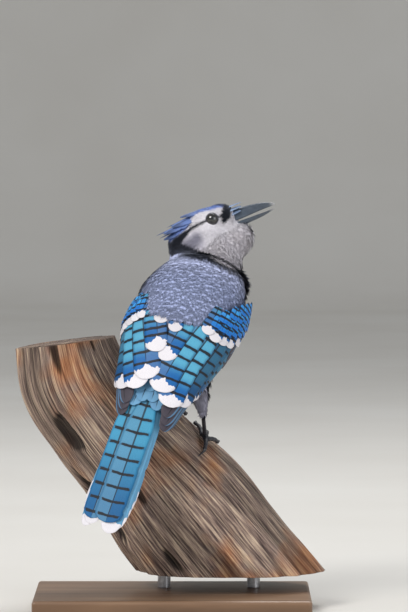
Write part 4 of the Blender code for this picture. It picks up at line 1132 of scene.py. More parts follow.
class Sheaf:
    """Collects vanes, their map cells and their measures for one piece."""

    def __init__(self, name, cells, seed):
        self.name = name
        self.cells = cells
        self.rng = np.random.default_rng(seed)
        self.faces, self.parts, self.count = [], [], 0

    def lay(self, place, length, halves, rounding, look, notches=2):
        """place(t, aside, height) gives points for arrays of one shape."""
        rows, columns = VANE_ROWS, len(VANE_SHARES)
        t = 1.0 - (1.0 - np.linspace(0.0, 1.0, rows)[:, None]) ** 1.35
        u = VANE_SHARES * np.ones_like(t)
        from_tip = (1.0 - t) * length
        end = np.sqrt(np.clip(1.0 - (1.0 - np.minimum(from_tip / rounding, 1.0)) ** 2, 0.003, 1.0))
        width = np.where(u < 0, *halves) * end * (0.5 + 0.5 * step(0.0, 0.35, t))
        for _ in range(notches):
            split = self.rng.uniform(0.4, 0.98)
            dip = np.exp(-((t - split) / 0.014) ** 2) * np.clip(u * self.rng.choice((-1.0, 1.0)), 0, 1) ** 2
            width = width * (1.0 - 0.13 * dip)
        width = width * (1.0 + 0.02 * np.sin(from_tip * 1.7 + self.rng.uniform(0, 6)) * np.abs(u) ** 3)
        aside = u * width
        body = VANE_THICK * (0.3 + 0.7 * (1 - np.abs(u) ** 3)) * (0.35 + 0.65 * step(0.0, 4.0, from_tip))
        ridge = SHAFT_RISE * np.exp(-(u / 0.07) ** 2) * (1.0 - 0.7 * t)
        swell = CUSHION * (1.0 - (2.0 * np.abs(u) - 1.0) ** 2) * end
        upper = place(t, aside, body / 2 + ridge + swell)
        lower = place(t, aside, swell - body / 2)
        start = self.count * rows * columns * 2
        both = columns * 2
        ring = np.concatenate((upper, lower[:, ::-1]), axis=1)
        self.faces += (grid_faces(rows, both, wrap=True) + start)[:, ::-1].tolist()
        self.faces.append([start + k for k in range(both)])
        self.faces.append([start + (rows - 1) * both + k for k in range(both)][::-1])
        u = np.concatenate((u, u[:, ::-1]), axis=1)
        aside = np.concatenate((aside, aside[:, ::-1]), axis=1)
        v = t * np.ones((1, both))
        cell_x, cell_y = self.count % self.cells[0], self.count // self.cells[0]
        on_map = ((cell_x + 0.06 + 0.88 * (0.5 + 0.5 * u)) / self.cells[0],
                  (cell_y + 0.04 + 0.92 * v) / self.cells[1])
        flat = (rows * both, -1)
        self.parts.append((ring.reshape(flat), np.stack(on_map, -1).reshape(flat),
                           np.stack((0.5 + 0.5 * u, v), -1).reshape(flat),
                           np.stack(((1.0 - v) * length, u, aside), -1).reshape(flat),
                           np.tile(look, (rows * both, 1)), np.full((rows * both, 1), self.rng.random())))
        self.count += 1

    def finish(self, material):
        points, on_map, vane, measures, looks, tones = (np.concatenate(part) for part in zip(*self.parts))
        piece = new_piece(self.name, points, self.faces)
        mesh = piece.data
        corner = corner_points(mesh)
        hang_values(mesh, "OFBake", on_map[corner], "FLOAT2", "CORNER")
        hang_values(mesh, "vane", vane[corner], "FLOAT2", "CORNER")
        hang_values(mesh, "measure", measures, "FLOAT_VECTOR")
        hang_values(mesh, "look", looks, "FLOAT_VECTOR")
        hang_values(mesh, "tone", tones)
        mesh.materials.append(material)
        return piece


# %% [markdown]
# ## Colours of the barred feathers
# The blues of a jay's wing are cells between black bars, pale turquoise near
# the root of the feather and deep blue towards its white tip.  The web inside
# the shaft is greyer than the web outside it.  The white has a scalloped upper
# edge, highest on the shaft.  All of it is worked out from the measures on the
# vane, in real millimetres.

# %% The bar group
bars = bpy.data.node_groups.new("bars", "ShaderNodeTree")
for socket_name in ("Pale", "Deep", "Inner", "Side", "Black", "White", "Dusky", "Edge"):
    bars.interface.new_socket(socket_name, in_out="INPUT", socket_type="NodeSocketColor")
for socket_name in ("Bar", "Reach", "Lead", "Fade"):
    bars.interface.new_socket(socket_name, in_out="INPUT", socket_type="NodeSocketFloat")
bars.interface.new_socket("Colour", in_out="OUTPUT", socket_type="NodeSocketColor")
given = node(bars, "NodeGroupInput").outputs
measure = node(bars, "ShaderNodeSeparateXYZ", {0: attribute(bars, "measure").outputs["Vector"]}).outputs
look = node(bars, "ShaderNodeSeparateXYZ", {0: attribute(bars, "look").outputs["Vector"]}).outputs
tone = attribute(bars, "tone").outputs["Fac"]
object_place = node(bars, "ShaderNodeTexCoord").outputs["Object"]


def maths(operation, *values, clamp=False):
    return math_node(bars, operation, *values, clamp=clamp)


def soft_step(tree, value, low, high):
    made = node(tree, "ShaderNodeMapRange", {"Value": value}, interpolation_type="SMOOTHSTEP")
    for name, level in (("From Min", low), ("From Max", high)):
        if isinstance(level, bpy.types.NodeSocket):
            tree.links.new(level, made.inputs[name])
        else:
            made.inputs[name].default_value = level
    return made.outputs["Result"]


def below(value, low, high):
    return maths("SUBTRACT", 1.0, soft_step(bars, value, low, high))


def wavy(scale, size):
    fac = node(bars, "ShaderNodeTexNoise",
               {"Vector": object_place, "Scale": scale, "Detail": 2.0}).outputs["Fac"]
    return maths("MULTIPLY", maths("SUBTRACT", fac, 0.5), size)


far = maths("ABSOLUTE", measure["Z"])
share = maths("ABSOLUTE", measure["Y"])
inner_web = below(measure["Z"], -0.3, 0.0)
# Bars lie almost square to the shaft, a little nearer the root at the edges
up_vane = maths("ADD", maths("SUBTRACT", measure["X"], look["X"]), wavy(300.0, 1.1))
up_vane = maths("SUBTRACT", up_vane, maths("MULTIPLY", far, 0.08))
spacing = maths("MAXIMUM", look["Y"], 1.0)
phase = maths("FRACT", maths("DIVIDE", maths("SUBTRACT", up_vane, given["Lead"]), spacing))
from_bar = maths("MULTIPLY", maths("ABSOLUTE", maths("SUBTRACT", phase, 0.5)), spacing)
from_bar = maths("SUBTRACT", maths("MULTIPLY", spacing, 0.5), from_bar)
half_bar = maths("MULTIPLY", given["Bar"], maths("ADD", maths("MULTIPLY", tone, 0.2), 0.42))
bar = below(from_bar, maths("SUBTRACT", half_bar, 0.28), maths("ADD", half_bar, 0.32))
reach = maths("ADD", given["Reach"], wavy(500.0, 0.3))
bar = maths("MULTIPLY", bar, below(share, reach, maths("ADD", reach, 0.1)))
bar = maths("MULTIPLY", bar, maths("GREATER_THAN", look["Y"], 0.5))
bar = maths("MULTIPLY", bar, soft_step(bars, up_vane, -1.2, -0.6))
cell = mix(bars, soft_step(bars, up_vane, 3.0, given["Fade"]), given["Deep"], given["Pale"])
toward_bar = soft_step(bars, from_bar, 0.3, 3.0)
cell = mix(bars, maths("MULTIPLY", maths("SUBTRACT", 1.0, toward_bar), 0.35), cell, given["Deep"])
cell = mix(bars, maths("MULTIPLY", inner_web, 0.62), cell, given["Inner"])
# Toward its edges each vane darkens to the deep blue: partly a dark margin, partly painted shade of the
# cushioned web where it dips under the next vane.
rim = soft_step(bars, share, 0.82, 1.0)
cell = mix(bars, maths("MULTIPLY", rim, 0.30), cell, given["Deep"])
# A negative dusky value mixes in the Side colour.  On the wings this deep navy is partly painted shade of the
# feathers at the wing's side; on the tail it is the paler blue of the outer feathers' edges.
cell = mix(bars, maths("MULTIPLY", look["Z"], -1.0, clamp=True), cell, given["Side"])
brown = mix(bars, soft_step(bars, measure["Y"], 0.5, 0.7), given["Dusky"], given["Edge"])
brown = mix(bars, soft_step(bars, measure["Y"], 0.8, 0.95), brown, given["Dusky"])
cell = mix(bars, maths("ADD", look["Z"], 0.0, clamp=True), cell, brown)
cell = mix(bars, maths("MULTIPLY", bar, 0.97), cell, given["Black"])
half_shaft = maths("ADD", 0.26, maths("MULTIPLY", up_vane, 0.0045))
shaft = maths("MULTIPLY", below(far, maths("MULTIPLY", half_shaft, 0.7), maths("MULTIPLY", half_shaft, 1.4)),
              soft_step(bars, up_vane, 0.5, 6.0))
cell = mix(bars, maths("MULTIPLY", shaft, 0.85), cell, given["Black"])
peak = maths("EXPONENT", maths("MULTIPLY", maths("MULTIPLY", far, far), -0.16))
brim = maths("MULTIPLY", look["X"], maths("ADD", maths("MULTIPLY", peak, 0.32), 0.66))
jag = maths("MULTIPLY", maths("PINGPONG", maths("ADD", measure["Z"], tone), 1.3), 0.7)
short_of = maths("SUBTRACT", measure["X"], maths("ADD", maths("ADD", brim, jag), wavy(380.0, 3.4)))
white = maths("MULTIPLY", below(short_of, -0.25, 0.25), maths("GREATER_THAN", look["X"], 0.5))
final = mix(bars, white, cell, given["White"])
node(bars, "NodeGroupOutput", {"Colour": final})


def barred_material(name, pale, deep, inner, side, bar, reach, lead, fade):
    material, tree, shader = new_material(name, 0.5, Specular_IOR_Level=0.36)
    sheen(shader, 0.06, 0.4, srgb(190, 225, 250))
    placed = node(tree, "ShaderNodeGroup", node_tree=bars)
    for socket_name, colour in (("Pale", pale), ("Deep", deep), ("Inner", inner), ("Side", side),
                                ("Black", srgb(13, 14, 20)), ("White", srgb(236, 232, 238)),
                                ("Dusky", srgb(66, 60, 72)), ("Edge", srgb(88, 128, 164))):
        placed.inputs[socket_name].default_value = (*colour, 1.0)
    for socket_name, value in (("Bar", bar), ("Reach", reach), ("Lead", lead), ("Fade", fade)):
        placed.inputs[socket_name].default_value = value
    with_barbs(tree, shader, placed.outputs["Colour"], 60.0, 16.0, 0.15, 0.14, 0.35)
    return material


# On the wings the side colour, a deep navy, is partly the outer flight feathers' own deeper blue and partly
# painted shade at the wing's side.
wing_finish = barred_material("wing feathers", srgb(88, 172, 206), srgb(0, 98, 170), srgb(80, 120, 170),
                              srgb(0, 66, 108), 1.75, 1.3, 1.0, 17.0)
covert_finish = barred_material("wing coverts", srgb(62, 172, 242), srgb(10, 118, 214), srgb(36, 130, 212),
                                srgb(0, 66, 108), 1.5, 1.3, 0.2, 5.0)
tail_finish = barred_material("tail feathers", srgb(66, 156, 194), srgb(0, 92, 148), srgb(96, 150, 184),
                              srgb(112, 172, 208), 2.0, 0.78, 5.0, 78.0)
print("three barred finishes")

# %% [markdown]
# ## Folded wings
# Each flight feather is set by where its shaft starts under the coverts, where
# it ends, and how far its middle bows, so a parabola gives the whole line: a
# long list of points would be harder to change. The innermost lies on top, and
# each one covers the inner web of the next, so what shows of a feather is the
# strip outside its shaft. The first feathers of each wing lie wide open on the
# back; the others close up like a fan at the side.

# %% Lines of the flight feathers
# One flight feather a row, from the back outward: where its shaft starts and
# ends (mm along, degrees round) and how far its middle bows outward, half widths
# inward and outward, height at root and tip, slope outward, rounding of the tip,
# (white, bars, dusky).  A negative dusky turns a feather toward the deep navy
# side colour: partly the outer feathers' own deeper blue, partly painted shade
# where the wing turns away at its side.
FLIGHT = {
    "left": (
        ((52, 23), (15, 4), 1, (6.4, 9.4), (1.7, 1.7), 0.05, 8.0, (10.5, 5.0, 0)),
        ((52, 41), (-5, 8), 2, (10.0, 9.0), (1.1, 1.2), 0.065, 8.0, (10.5, 8.3, 0)),
        ((52, 52), (-12, 20), 7, (9.0, 9.0), (0.9, 0.9), 0.08, 8.0, (10.0, 8.7, 0)),
        ((52, 66), (-12, 46), 4, (8.0, 8.0), (0.7, 0.6), 0.10, 8.0, (10.5, 8.7, -0.6)),
        ((52, 76), (-10, 61), 4, (7.0, 6.0), (0.5, 0.2), 0.14, 7.0, (9, 8.6, -0.7)),
        ((52, 86), (-7, 75), 3, (6.0, 5.0), (0.2, 0.0), 0.18, 6.0, (8, 8.6, -0.7)),
        ((50, 95), (-5, 87), 2, (6.0, 4.5), (0.0, -0.3), 0.22, 6.0, (7, 8.6, -0.7)),
        ((48, 72), (-22, 42), 4, (6.5, 4.5), (-0.4, -1.2), 0.14, 9.0, (0, 0, 1)),
        ((48, 78), (-26, 47), 4, (6.2, 4.2), (-0.8, -1.7), 0.14, 9.0, (0, 0, 1)),
        ((48, 84), (-30, 53), 6, (5.8, 4.0), (-1.2, -2.2), 0.16, 9.0, (0, 0, 1)),
        ((48, 90), (-28, 61), 7, (5.4, 3.6), (-1.6, -2.7), 0.18, 8.0, (0, 0, 1)),
        ((48, 96), (-25, 71), 8, (5.0, 3.2), (-2.0, -3.2), 0.20, 8.0, (0, 0, 1)),
    ),
    "right": (
        ((50, 17), (10, 3), 0, (6.0, 8.4), (1.0, 0.9), 0.05, 8.0, (10.5, 6.6, 0)),
        ((50, 35), (-12, 12), -3, (9.0, 10.0), (0.9, 0.8), 0.065, 8.0, (10.5, 8.9, 0)),
        ((50, 50), (-20, 35), -4, (9.0, 9.0), (0.8, 0.7), 0.08, 8.0, (10.0, 9.0, 0)),
        ((50, 64), (-16, 55), -1, (8.0, 8.0), (0.6, 0.5), 0.10, 8.0, (10.0, 9.0, -0.75)),
        ((50, 76), (-10, 65), 1, (7.0, 6.0), (0.5, 0.2), 0.14, 7.0, (9, 9.0, -0.8)),
        ((50, 86), (-6, 78), 2, (6.0, 5.0), (0.2, 0.0), 0.18, 6.0, (8, 9.0, -0.6)),
        ((50, 95), (-2, 88), 2, (6.0, 4.5), (0.0, -0.3), 0.22, 6.0, (7, 9.0, -0.5)),
        ((46, 72), (-27, 40), 4, (6.5, 4.5), (-0.4, -1.2), 0.14, 9.0, (0, 0, 1)),
        ((46, 78), (-32, 46), 4, (6.2, 4.2), (-0.8, -1.7), 0.14, 9.0, (0, 0, 1)),
        ((46, 84), (-36, 52), 4, (5.8, 4.0), (-1.2, -2.2), 0.16, 9.0, (0, 0, 1)),
        ((46, 90), (-34, 59), 6, (5.4, 3.6), (-1.6, -2.7), 0.18, 8.0, (0, 0, 1)),
        ((46, 96), (-28, 67), 8, (5.0, 3.2), (-2.0, -3.2), 0.20, 8.0, (0, 0, 1)),
    ),
}
SHAFT_POINTS = 12


def bowed_line(root, tip, bow):
    """Places down a shaft from root to tip, bowed like a bent cane."""
    places = []
    for k in range(SHAFT_POINTS + 1):
        share = k / SHAFT_POINTS
        along = root[0] + (tip[0] - root[0]) * share
        turn = root[1] + (tip[1] - root[1]) * share + bow * 4.0 * share * (1.0 - share)
        places.append((along, turn))
    return tuple(places)


# Rows of coverts: tips, length, half width, height at root and tip, slope,
# rounding, (white, bars, dusky); the first three rows belong to the flight sheaf
COVERTS = {
    "left": (
        (((34, 11),), 22.0, 5.8, (1.9, 2.5), 0.04, 5.5, (6.5, 5.5, 0)),
        (((37.5, 36), (35.8, 45), (34, 54), (32.5, 64), (30.5, 75), (29, 86), (27, 97)),
         22.0, 4.7, (1.5, 2.2), 0.10, 4.5, (5.6, 4.6, 0)),
        (((24, 86), (20, 93), (16, 99)), 24.0, 3.2, (0.4, 0.8), 0.10, 6.0, (0, 0, 1)),
        (((43, 42), (41.5, 50), (40.5, 58), (39.5, 67), (38.5, 77), (37.5, 88), (36.5, 98)),
         12.0, 3.5, (2.0, 3.0), 0.10, 3.0, (0, 5.0, 0)),
        (((48.5, 52), (47, 61), (46, 71), (45, 82), (44.5, 93)), 11.0, 3.4, (1.4, 2.6), 0.10, 3.0,
         (0, 4.6, 0)),
    ),
    "right": (
        (((30, 5.5),), 24.0, 5.3, (1.4, 1.9), 0.04, 5.5, (6.5, 5.5, 0)),
        (((35.3, 39), (33, 50), (34, 60.5), (36, 72), (42.5, 86), (45, 97)),
         22.0, 4.9, (1.5, 2.2), 0.10, 4.5, (6.0, 4.6, 0)),
        (((36, 88), (31, 95), (26, 99)), 24.0, 3.2, (0.4, 1.2), 0.10, 6.0, (0, 0, 1)),
        (((41, 44), (40.5, 52), (41, 60.5), (43, 69), (46.5, 79), (51, 90)),
         12.0, 3.5, (2.0, 3.0), 0.10, 3.0, (0, 5.0, 0)),
        (((46.5, 49), (46.5, 57), (47.5, 65), (50, 74), (54, 84), (57, 94)),
         11.0, 3.4, (2.4, 3.4), 0.10, 3.0, (0, 4.6, 0)),
        (((53, 59), (54, 68), (57, 77), (61, 87), (63, 96)), 11.0, 3.3, (2.0, 3.2), 0.10, 3.0, (0, 4.6, 0)),
        (((61, 71), (65, 80), (69, 90)), 10.0, 3.3, (1.2, 2.8), 0.10, 3.0, (0, 4.4, 0)),
    ),
}
FLIGHT_COVERT_ROWS = 3


def wing_place(side_name, line, lifts, slope):
    """A function from (share of the length, mm aside, height) to points, and
    the length of the shaft."""
    line = sorted(line)
    root, tip = line[-1][0], line[0][0]

    def place(t, aside, height):
        along = root + (tip - root) * t
        turn = column(line, 1, along)
        lift = lifts[0] + (lifts[1] - lifts[0]) * t
        here = on_wing(side_name, along, turn, lift)
        per_degree = np.linalg.norm(on_wing(side_name, along, turn + 1.0, lift) - here, axis=-1)
        back = np.gradient(along[:, 0])[:, None]
        out = np.gradient(turn[:, 0])[:, None] * per_degree
        size = np.hypot(back, out)
        return on_wing(side_name, along + aside * out / size, turn - aside * back / size / per_degree,
                       lift + slope * aside + height)

    spine = place(np.linspace(0, 1, 20)[:, None], 0.0, 0.0)[:, 0]
    return place, np.linalg.norm(np.diff(spine, axis=0), axis=1).sum()


def lay_coverts(sheaf, side_name, row):
    tips, length, half, lifts, slope, rounding, look = row
    for along, turn in tips:
        line = ((along + length, turn + 1.0), (along, turn))
        place, run = wing_place(side_name, line, lifts, slope)
        sheaf.lay(place, run, (half, half), rounding, look)


# %% Lay both wings
for side_name in SIDES:
    sheaf = Sheaf("wing_vanes_" + side_name, (8, 4), 21)
    for root, tip, bow, halves, lifts, slope, rounding, look in FLIGHT[side_name]:
        place, run = wing_place(side_name, bowed_line(root, tip, bow), lifts, slope)
        sheaf.lay(place, run, halves, rounding, look)
    for row in COVERTS[side_name][:FLIGHT_COVERT_ROWS]:
        lay_coverts(sheaf, side_name, row)
    hand_in(sheaf.finish(wing_finish), "wing_feathers", "wing_" + side_name)
    sheaf = Sheaf("wing_coverts_" + side_name, (8, 4), 22)
    for row in COVERTS[side_name][FLIGHT_COVERT_ROWS:]:
        lay_coverts(sheaf, side_name, row)
    hand_in(sheaf.finish(covert_finish), "wing_feathers")

# %% [markdown]
# ## Tail
# Twelve tail feathers lie under one another like a closed fan.  The right one of
# the middle pair lies on top and shows both its webs; the others show an outer
# strip each and their tips, white on all but the middle pair.

# %% Lay the tail
# run and sideways place of the tip, half widths inside and outside, white
TAIL_FAN = {
    "left": ((109.0, -9.8, (8.0, 7.0), 0.0), (113.0, -9.6, (7.0, 6.4), 9.0), (115.0, -12.6, (6.6, 4.4), 11.0),
             (107.0, -14.6, (6.6, 3.4), 15.0), (102.0, -16.0, (6.6, 2.6), 18.0), (98.0, -17.0, (6.6, 2.2),
                                                                                  20.0)),
    "right": ((110.0, 1.0, (9.6, 9.8), 0.0), (117.0, 4.4, (7.0, 7.6), 12.0), (113.0, 7.4, (7.0, 6.4), 15.0),
              (107.0, 9.4, (6.8, 5.2), 17.0), (102.0, 10.6, (6.6, 4.4), 19.0), (97.0, 11.6, (6.6, 3.8),
                                                                                22.0)),
}
TAIL_SLOPE = 0.10
TAIL_STEP = 0.62
# Small feathers over and under the root of the tail: root and tip (run, across,
# rise), half width
TAIL_COVERTS = (
    ((-8.0, -4.0, 1.8), (21.0, -8.5, 1.2), 5.6), ((-8.0, 4.0, 1.8), (21.0, 8.0, 1.2), 5.6),
    ((-8.0, -2.0, 2.6), (17.0, -3.5, 2.3), 5.8), ((-8.0, 2.0, 2.6), (16.0, 3.5, 2.3), 5.8),
    ((-8.0, -5.0, 3.0), (11.0, -8.0, 2.6), 5.2), ((-8.0, 5.0, 3.0), (11.0, 7.5, 2.6), 5.2),
    ((-8.0, 0.0, 3.6), (9.0, 0.0, 3.2), 5.6),
)


def tail_place(start, end, outward=1.0, slope=0.0):
    """Placing function between two points given as (run, across, rise)."""
    def place(t, aside, height):
        run = start[0] + (end[0] - start[0]) * t
        across = start[1] + (end[1] - start[1]) * t ** 0.5
        rise = start[2] + (end[2] - start[2]) * t
        return on_tail(run, across + outward * aside, rise - slope * aside + height)
    return place


sheaf = Sheaf("tail_vanes", (6, 2), 31)
for side_name, side in SIDES.items():
    for pair, (reach, end, halves, white) in enumerate(TAIL_FAN[side_name]):
        top = pair == 0 and side > 0
        layer = 0.0 if top else pair + (1.0 if side > 0 else 1.4)
        slope = 0.0 if top else TAIL_SLOPE * min(pair + 1, 2) / 2
        start = 1.0 if top else side * (1.4 + 1.3 * pair) - (8.0 if pair == 0 else 0.0)
        deep = -TAIL_STEP * layer
        place = tail_place((2.0, start, deep), (reach, end, deep), side, slope)
        sheaf.lay(place, reach - 2.0, halves, 8.0 if pair == 0 else 11.0,
                  (white, 10.8 if pair == 0 else 0.0, 0.0 if pair == 0 else -0.8))
hand_in(sheaf.finish(tail_finish), "tail_feathers", "tail")

sheaf = Sheaf("tail_coverts", (8, 3), 32)
for root, tip, half in TAIL_COVERTS:
    sheaf.lay(tail_place(root, tip), tip[0] - root[0], (half, half), 8.0, (0.0, 0.0, 0.0), 5)
rump_finish = barred_material("tail coverts", srgb(112, 168, 208), srgb(112, 168, 208), srgb(104, 156, 198),
                              srgb(112, 168, 208), 0.0, 1.0, 0.0, 4.0)
hand_in(sheaf.finish(rump_finish), "mantle_feathers")

# %% [markdown]
# ## Locks of the head
# The crest is raised a little and ends in separate locks; pale bristles lie
# over the root of the bill.

# %% Lay the locks
# root and tip as (ahead, sideways, up) from the eyes, half width
CREST_LOCKS = (
    ((-15.0, 0.0, 3.4), (-38.5, 0.0, 1.8), 4.2), ((-14.0, 0.0, 5.4), (-40.1, 0.0, 4.4), 4.4),
    ((-14.0, 7.0, 2.4), (-36.5, 5.0, -0.2), 3.8), ((-12.0, 6.5, 5.4), (-35.0, 5.0, 3.6), 4.2),
    ((-7.0, 0.0, 7.4), (-31.0, 0.0, 6.8), 4.6), ((-6.0, 5.8, 6.4), (-28.0, 5.6, 6.0), 4.4),
    ((1.0, 3.0, 8.0), (-20.0, 3.4, 9.6), 4.4),
)
BRISTLES = (
    ((10.0, 2.2, 3.2), (23.0, 1.8, 2.4), 2.0), ((10.0, 4.6, 0.8), (22.0, 4.6, 0.0), 2.0),
    ((10.0, 5.2, -2.2), (20.5, 5.8, -2.6), 1.8),
)


def lock_place(root, tip, side):
    """A roofed vane between two places of the head."""
    def place(t, aside, height):
        ahead, right, up = (root[k] + (tip[k] - root[k]) * t for k in range(3))
        outer = np.abs(right * side + aside)
        drop = 0.045 * (outer ** 2 - right ** 2)
        return on_head(ahead, right * side + aside, up - drop + height)
    return place


def plain_vanes(name, colour, tip_colour, fade):
    return barred_material(name, colour, tip_colour, colour, colour, 0.0, 1.0, 0.0, fade)


for name, rows, finish in (
        ("crest", CREST_LOCKS, plain_vanes("crest feathers", srgb(122, 148, 214), srgb(64, 82, 122), 11.0)),
        ("bristles", BRISTLES, plain_vanes("bristles", srgb(158, 180, 214), srgb(116, 136, 168), 6.0))):
    sheaf = Sheaf(name, (5, 4), 41)
    for root, tip, half in rows:
        for side in (1.0, -1.0) if root[1] else (1.0,):
            length = math.dist(root, tip)
            sheaf.lay(lock_place(root, tip, side), length, (half, half), length * 0.8, (0.0, 0.0, 0.0), 8)
    hand_in(sheaf.finish(finish), "head_feathers")

# %% [markdown]
# ## Bill
# Upper and lower bill are two horn sheaths, domed outside and flat where they
# meet.  Each is a loft of half rounds along the head's own axis: dark slate,
# paler and worn at the tips, with a fine mottled grain.

# %% Bill
UPPER_BILL = (
    (11.5, 4.6, 0.8, -7.6),
    (17.0, 5.0, 0.8, -7.9),
    (23.0, 4.2, -0.8, -8.0),
    (30.0, 3.2, -2.0, -8.0),
    (36.0, 2.3, -3.5, -8.1),
    (41.0, 1.3, -5.6, -8.3),
    (44.3, 0.3, -7.6, -8.4),
)
LOWER_BILL = (
    (11.5, 4.2, -8.9, -13.0),
    (17.0, 4.6, -9.2, -13.0),
    (23.0, 3.8, -9.6, -12.9),
    (30.0, 2.9, -10.0, -12.8),
    (36.0, 2.0, -10.4, -12.2),
    (42.5, 0.3, -10.4, -11.0),
)


def bill_half(name, table, upper):
    """A domed side with a faint ridge along its middle, and a hollow inner side."""
    places = np.linspace(table[0][0], table[-1][0], 44)
    dome_turns = np.linspace(0.0, math.pi, 25)
    rings = []
    for place in places:
        half, top, bottom = (column(table, k, place) for k in (1, 2, 3))
        flat, dome = (bottom, top) if upper else (top, bottom)
        width = half * np.sign(np.cos(dome_turns)) * np.abs(np.cos(dome_turns)) ** 0.86
        height = flat + (dome - flat) * np.abs(np.sin(dome_turns)) ** (0.92 if upper else 0.8)
        outside = on_head(np.full_like(width, place), width, height)
        inner = np.linspace(-1.0, 1.0, 9)[1:-1]
        hollow = flat + (dome - flat) * 0.16 * (1 - inner ** 2)
        inside = on_head(np.full_like(inner, place), inner * half, hollow)
        rings.append(np.concatenate((outside, inside)))
    return face_outward(new_piece(name, *ring_solid(rings)))


horn_finish, tree, shader = new_material("bill horn", 0.34, Specular_IOR_Level=0.5, Coat_Weight=0.25,
                                         Coat_Roughness=0.2)
place = attribute(tree, "ahead").outputs["Fac"]
coords = node(tree, "ShaderNodeTexCoord").outputs["Object"]
grain = node(tree, "ShaderNodeTexNoise", {"Vector": coords, "Scale": 500.0, "Detail": 4.0}).outputs["Fac"]
horn = ramp(tree, place, ((0.0, srgb(58, 72, 88)), (0.45, srgb(44, 54, 68)), (0.86, srgb(52, 58, 66)),
                          (1.0, srgb(170, 168, 166))))
worn = mix(tree, math_node(tree, "MULTIPLY", grain, 0.35), horn, srgb(110, 122, 136))
tree.links.new(worn, shader.inputs["Base Color"])
tree.links.new(math_node(tree, "ADD", 0.24, math_node(tree, "MULTIPLY", grain, 0.26)),
               shader.inputs["Roughness"])
raised = node(tree, "ShaderNodeBump", {"Height": grain, "Strength": 0.12, "Distance": 0.0003})
tree.links.new(raised.outputs["Normal"], shader.inputs["Normal"])
for name, table, upper in (("bill_upper_horn", UPPER_BILL, True), ("bill_lower_horn", LOWER_BILL, False)):
    horn_piece = bill_half(name, table, upper)
    reach = head_view(points_of(horn_piece.data))[0]
    hang_values(horn_piece.data, "ahead", (reach - table[0][0]) / (table[-1][0] - table[0][0]))
    horn_piece.data.materials.append(horn_finish)
    hand_in(horn_piece, "bill_horn", "bill_upper" if upper else "bill_lower")

# %% [markdown]
# ## Eyes and lids
# The eye is a wet dark ball: the brown iris only shows close to, round a wide
# pupil.  A clear coat gives the catch light.  A thin grey rim of bare lid holds
# it, the shape that makes a bird's eye look set and not stuck on.

# %% Eyes
EYE_RADIUS = 4.6
EYE_OUT = 9.9
LID_WIDTH, LID_HEIGHT, LID_ROLL = 4.1, 3.8, 0.5

eye_finish, tree, shader = new_material("eye", 0.06, Specular_IOR_Level=0.6, Coat_Weight=1.0,
                                        Coat_Roughness=0.02)
from_pupil = attribute(tree, "from_pupil").outputs["Fac"]
iris = ramp(tree, from_pupil, ((0.0, (0.003, 0.003, 0.004)), (0.52, (0.003, 0.003, 0.004)),
                               (0.56, srgb(24, 16, 13)), (0.80, srgb(18, 13, 11)), (0.88,
                                                                                    (0.004, 0.004, 0.005))))
tree.links.new(iris, shader.inputs["Base Color"])
lid_finish, tree, shader = new_material("bare lid", 0.6)
coords = node(tree, "ShaderNodeTexCoord").outputs["Object"]
fine = node(tree, "ShaderNodeTexNoise", {"Vector": coords, "Scale": 1500.0, "Detail": 3.0}).outputs["Fac"]
tree.links.new(ramp(tree, fine, ((0.3, srgb(44, 44, 52)), (0.7, srgb(88, 86, 96)))),
               shader.inputs["Base Color"])
raised = node(tree, "ShaderNodeBump", {"Height": fine, "Strength": 0.5, "Distance": 0.0002})
tree.links.new(raised.outputs["Normal"], shader.inputs["Normal"])

for side_name, side in SIDES.items():
    middle = on_head(0.0, side * EYE_OUT, 0.0)
    eye = face_outward(new_piece("eyeball_" + side_name, *ellipsoid(
        middle, (HEAD_AHEAD, HEAD_UP, HEAD_RIGHT * side), (EYE_RADIUS,) * 3, 40, 30)))
    ahead, right, up = head_view(points_of(eye.data))
    hang_values(eye.data, "from_pupil", np.hypot(ahead, up) / 4.4)
    eye.data.materials.append(eye_finish)
    hand_in(eye, "eye", "eye_" + side_name)
    turns = np.linspace(0.0, 2 * math.pi, 48, endpoint=False)
    rolls = np.linspace(0.0, 2 * math.pi, 10, endpoint=False)
    turn, roll = np.meshgrid(turns, rolls, indexing="ij")
    creased = LID_ROLL * (1.0 + 0.12 * np.sin(9 * turn))
    lid = on_head((LID_WIDTH + creased * np.cos(roll)) * np.cos(turn),
                  side * (EYE_OUT + 2.0 + creased * np.sin(roll)),
                  (LID_HEIGHT + creased * np.cos(roll)) * np.sin(turn))
    faces = grid_faces(len(turns), len(rolls), wrap=True)
    last = (len(turns) - 1) * len(rolls)
    close = [[last + k, last + (k + 1) % 10, (k + 1) % 10, k] for k in range(10)]
    rim = face_outward(new_piece("lid_" + side_name, lid.reshape(-1, 3), faces.tolist() + close))
    rim.data.materials.append(lid_finish)
    hand_in(rim, "head_feathers")

# %% [markdown]
# ## Legs and feet
# Shank and toes are bare and scaled.  They follow the same grip on the wood as
# the solids: a toe bends round the limb and ends in a curved claw.

# %% Feet
FOOT_PLACES = {"left": (141.0, 16.0), "right": (170.0, 19.0)}
TOE_RADIUS, PAD_RADIUS, SHANK_RADIUS = 1.55, 2.4, 1.35
# name, sideways at start and end, reach round the limb, claw length
TOES = (("inner", -2.0, -10.5, -14.0, 6.0), ("middle", 0.0, -1.0, -19.0, 7.0),
        ("outer", 2.0, 9.5, -15.0, 6.0), ("hind", 0.5, 6.5, 12.5, 8.5))


def knobbed(radii, count, depth):
    """Swell a tube's radius at even pads, as under a toe."""
    places = np.linspace(0.0, 1.0, len(radii))
    return radii * (1.0 + depth * np.abs(np.sin(np.pi * count * places)))


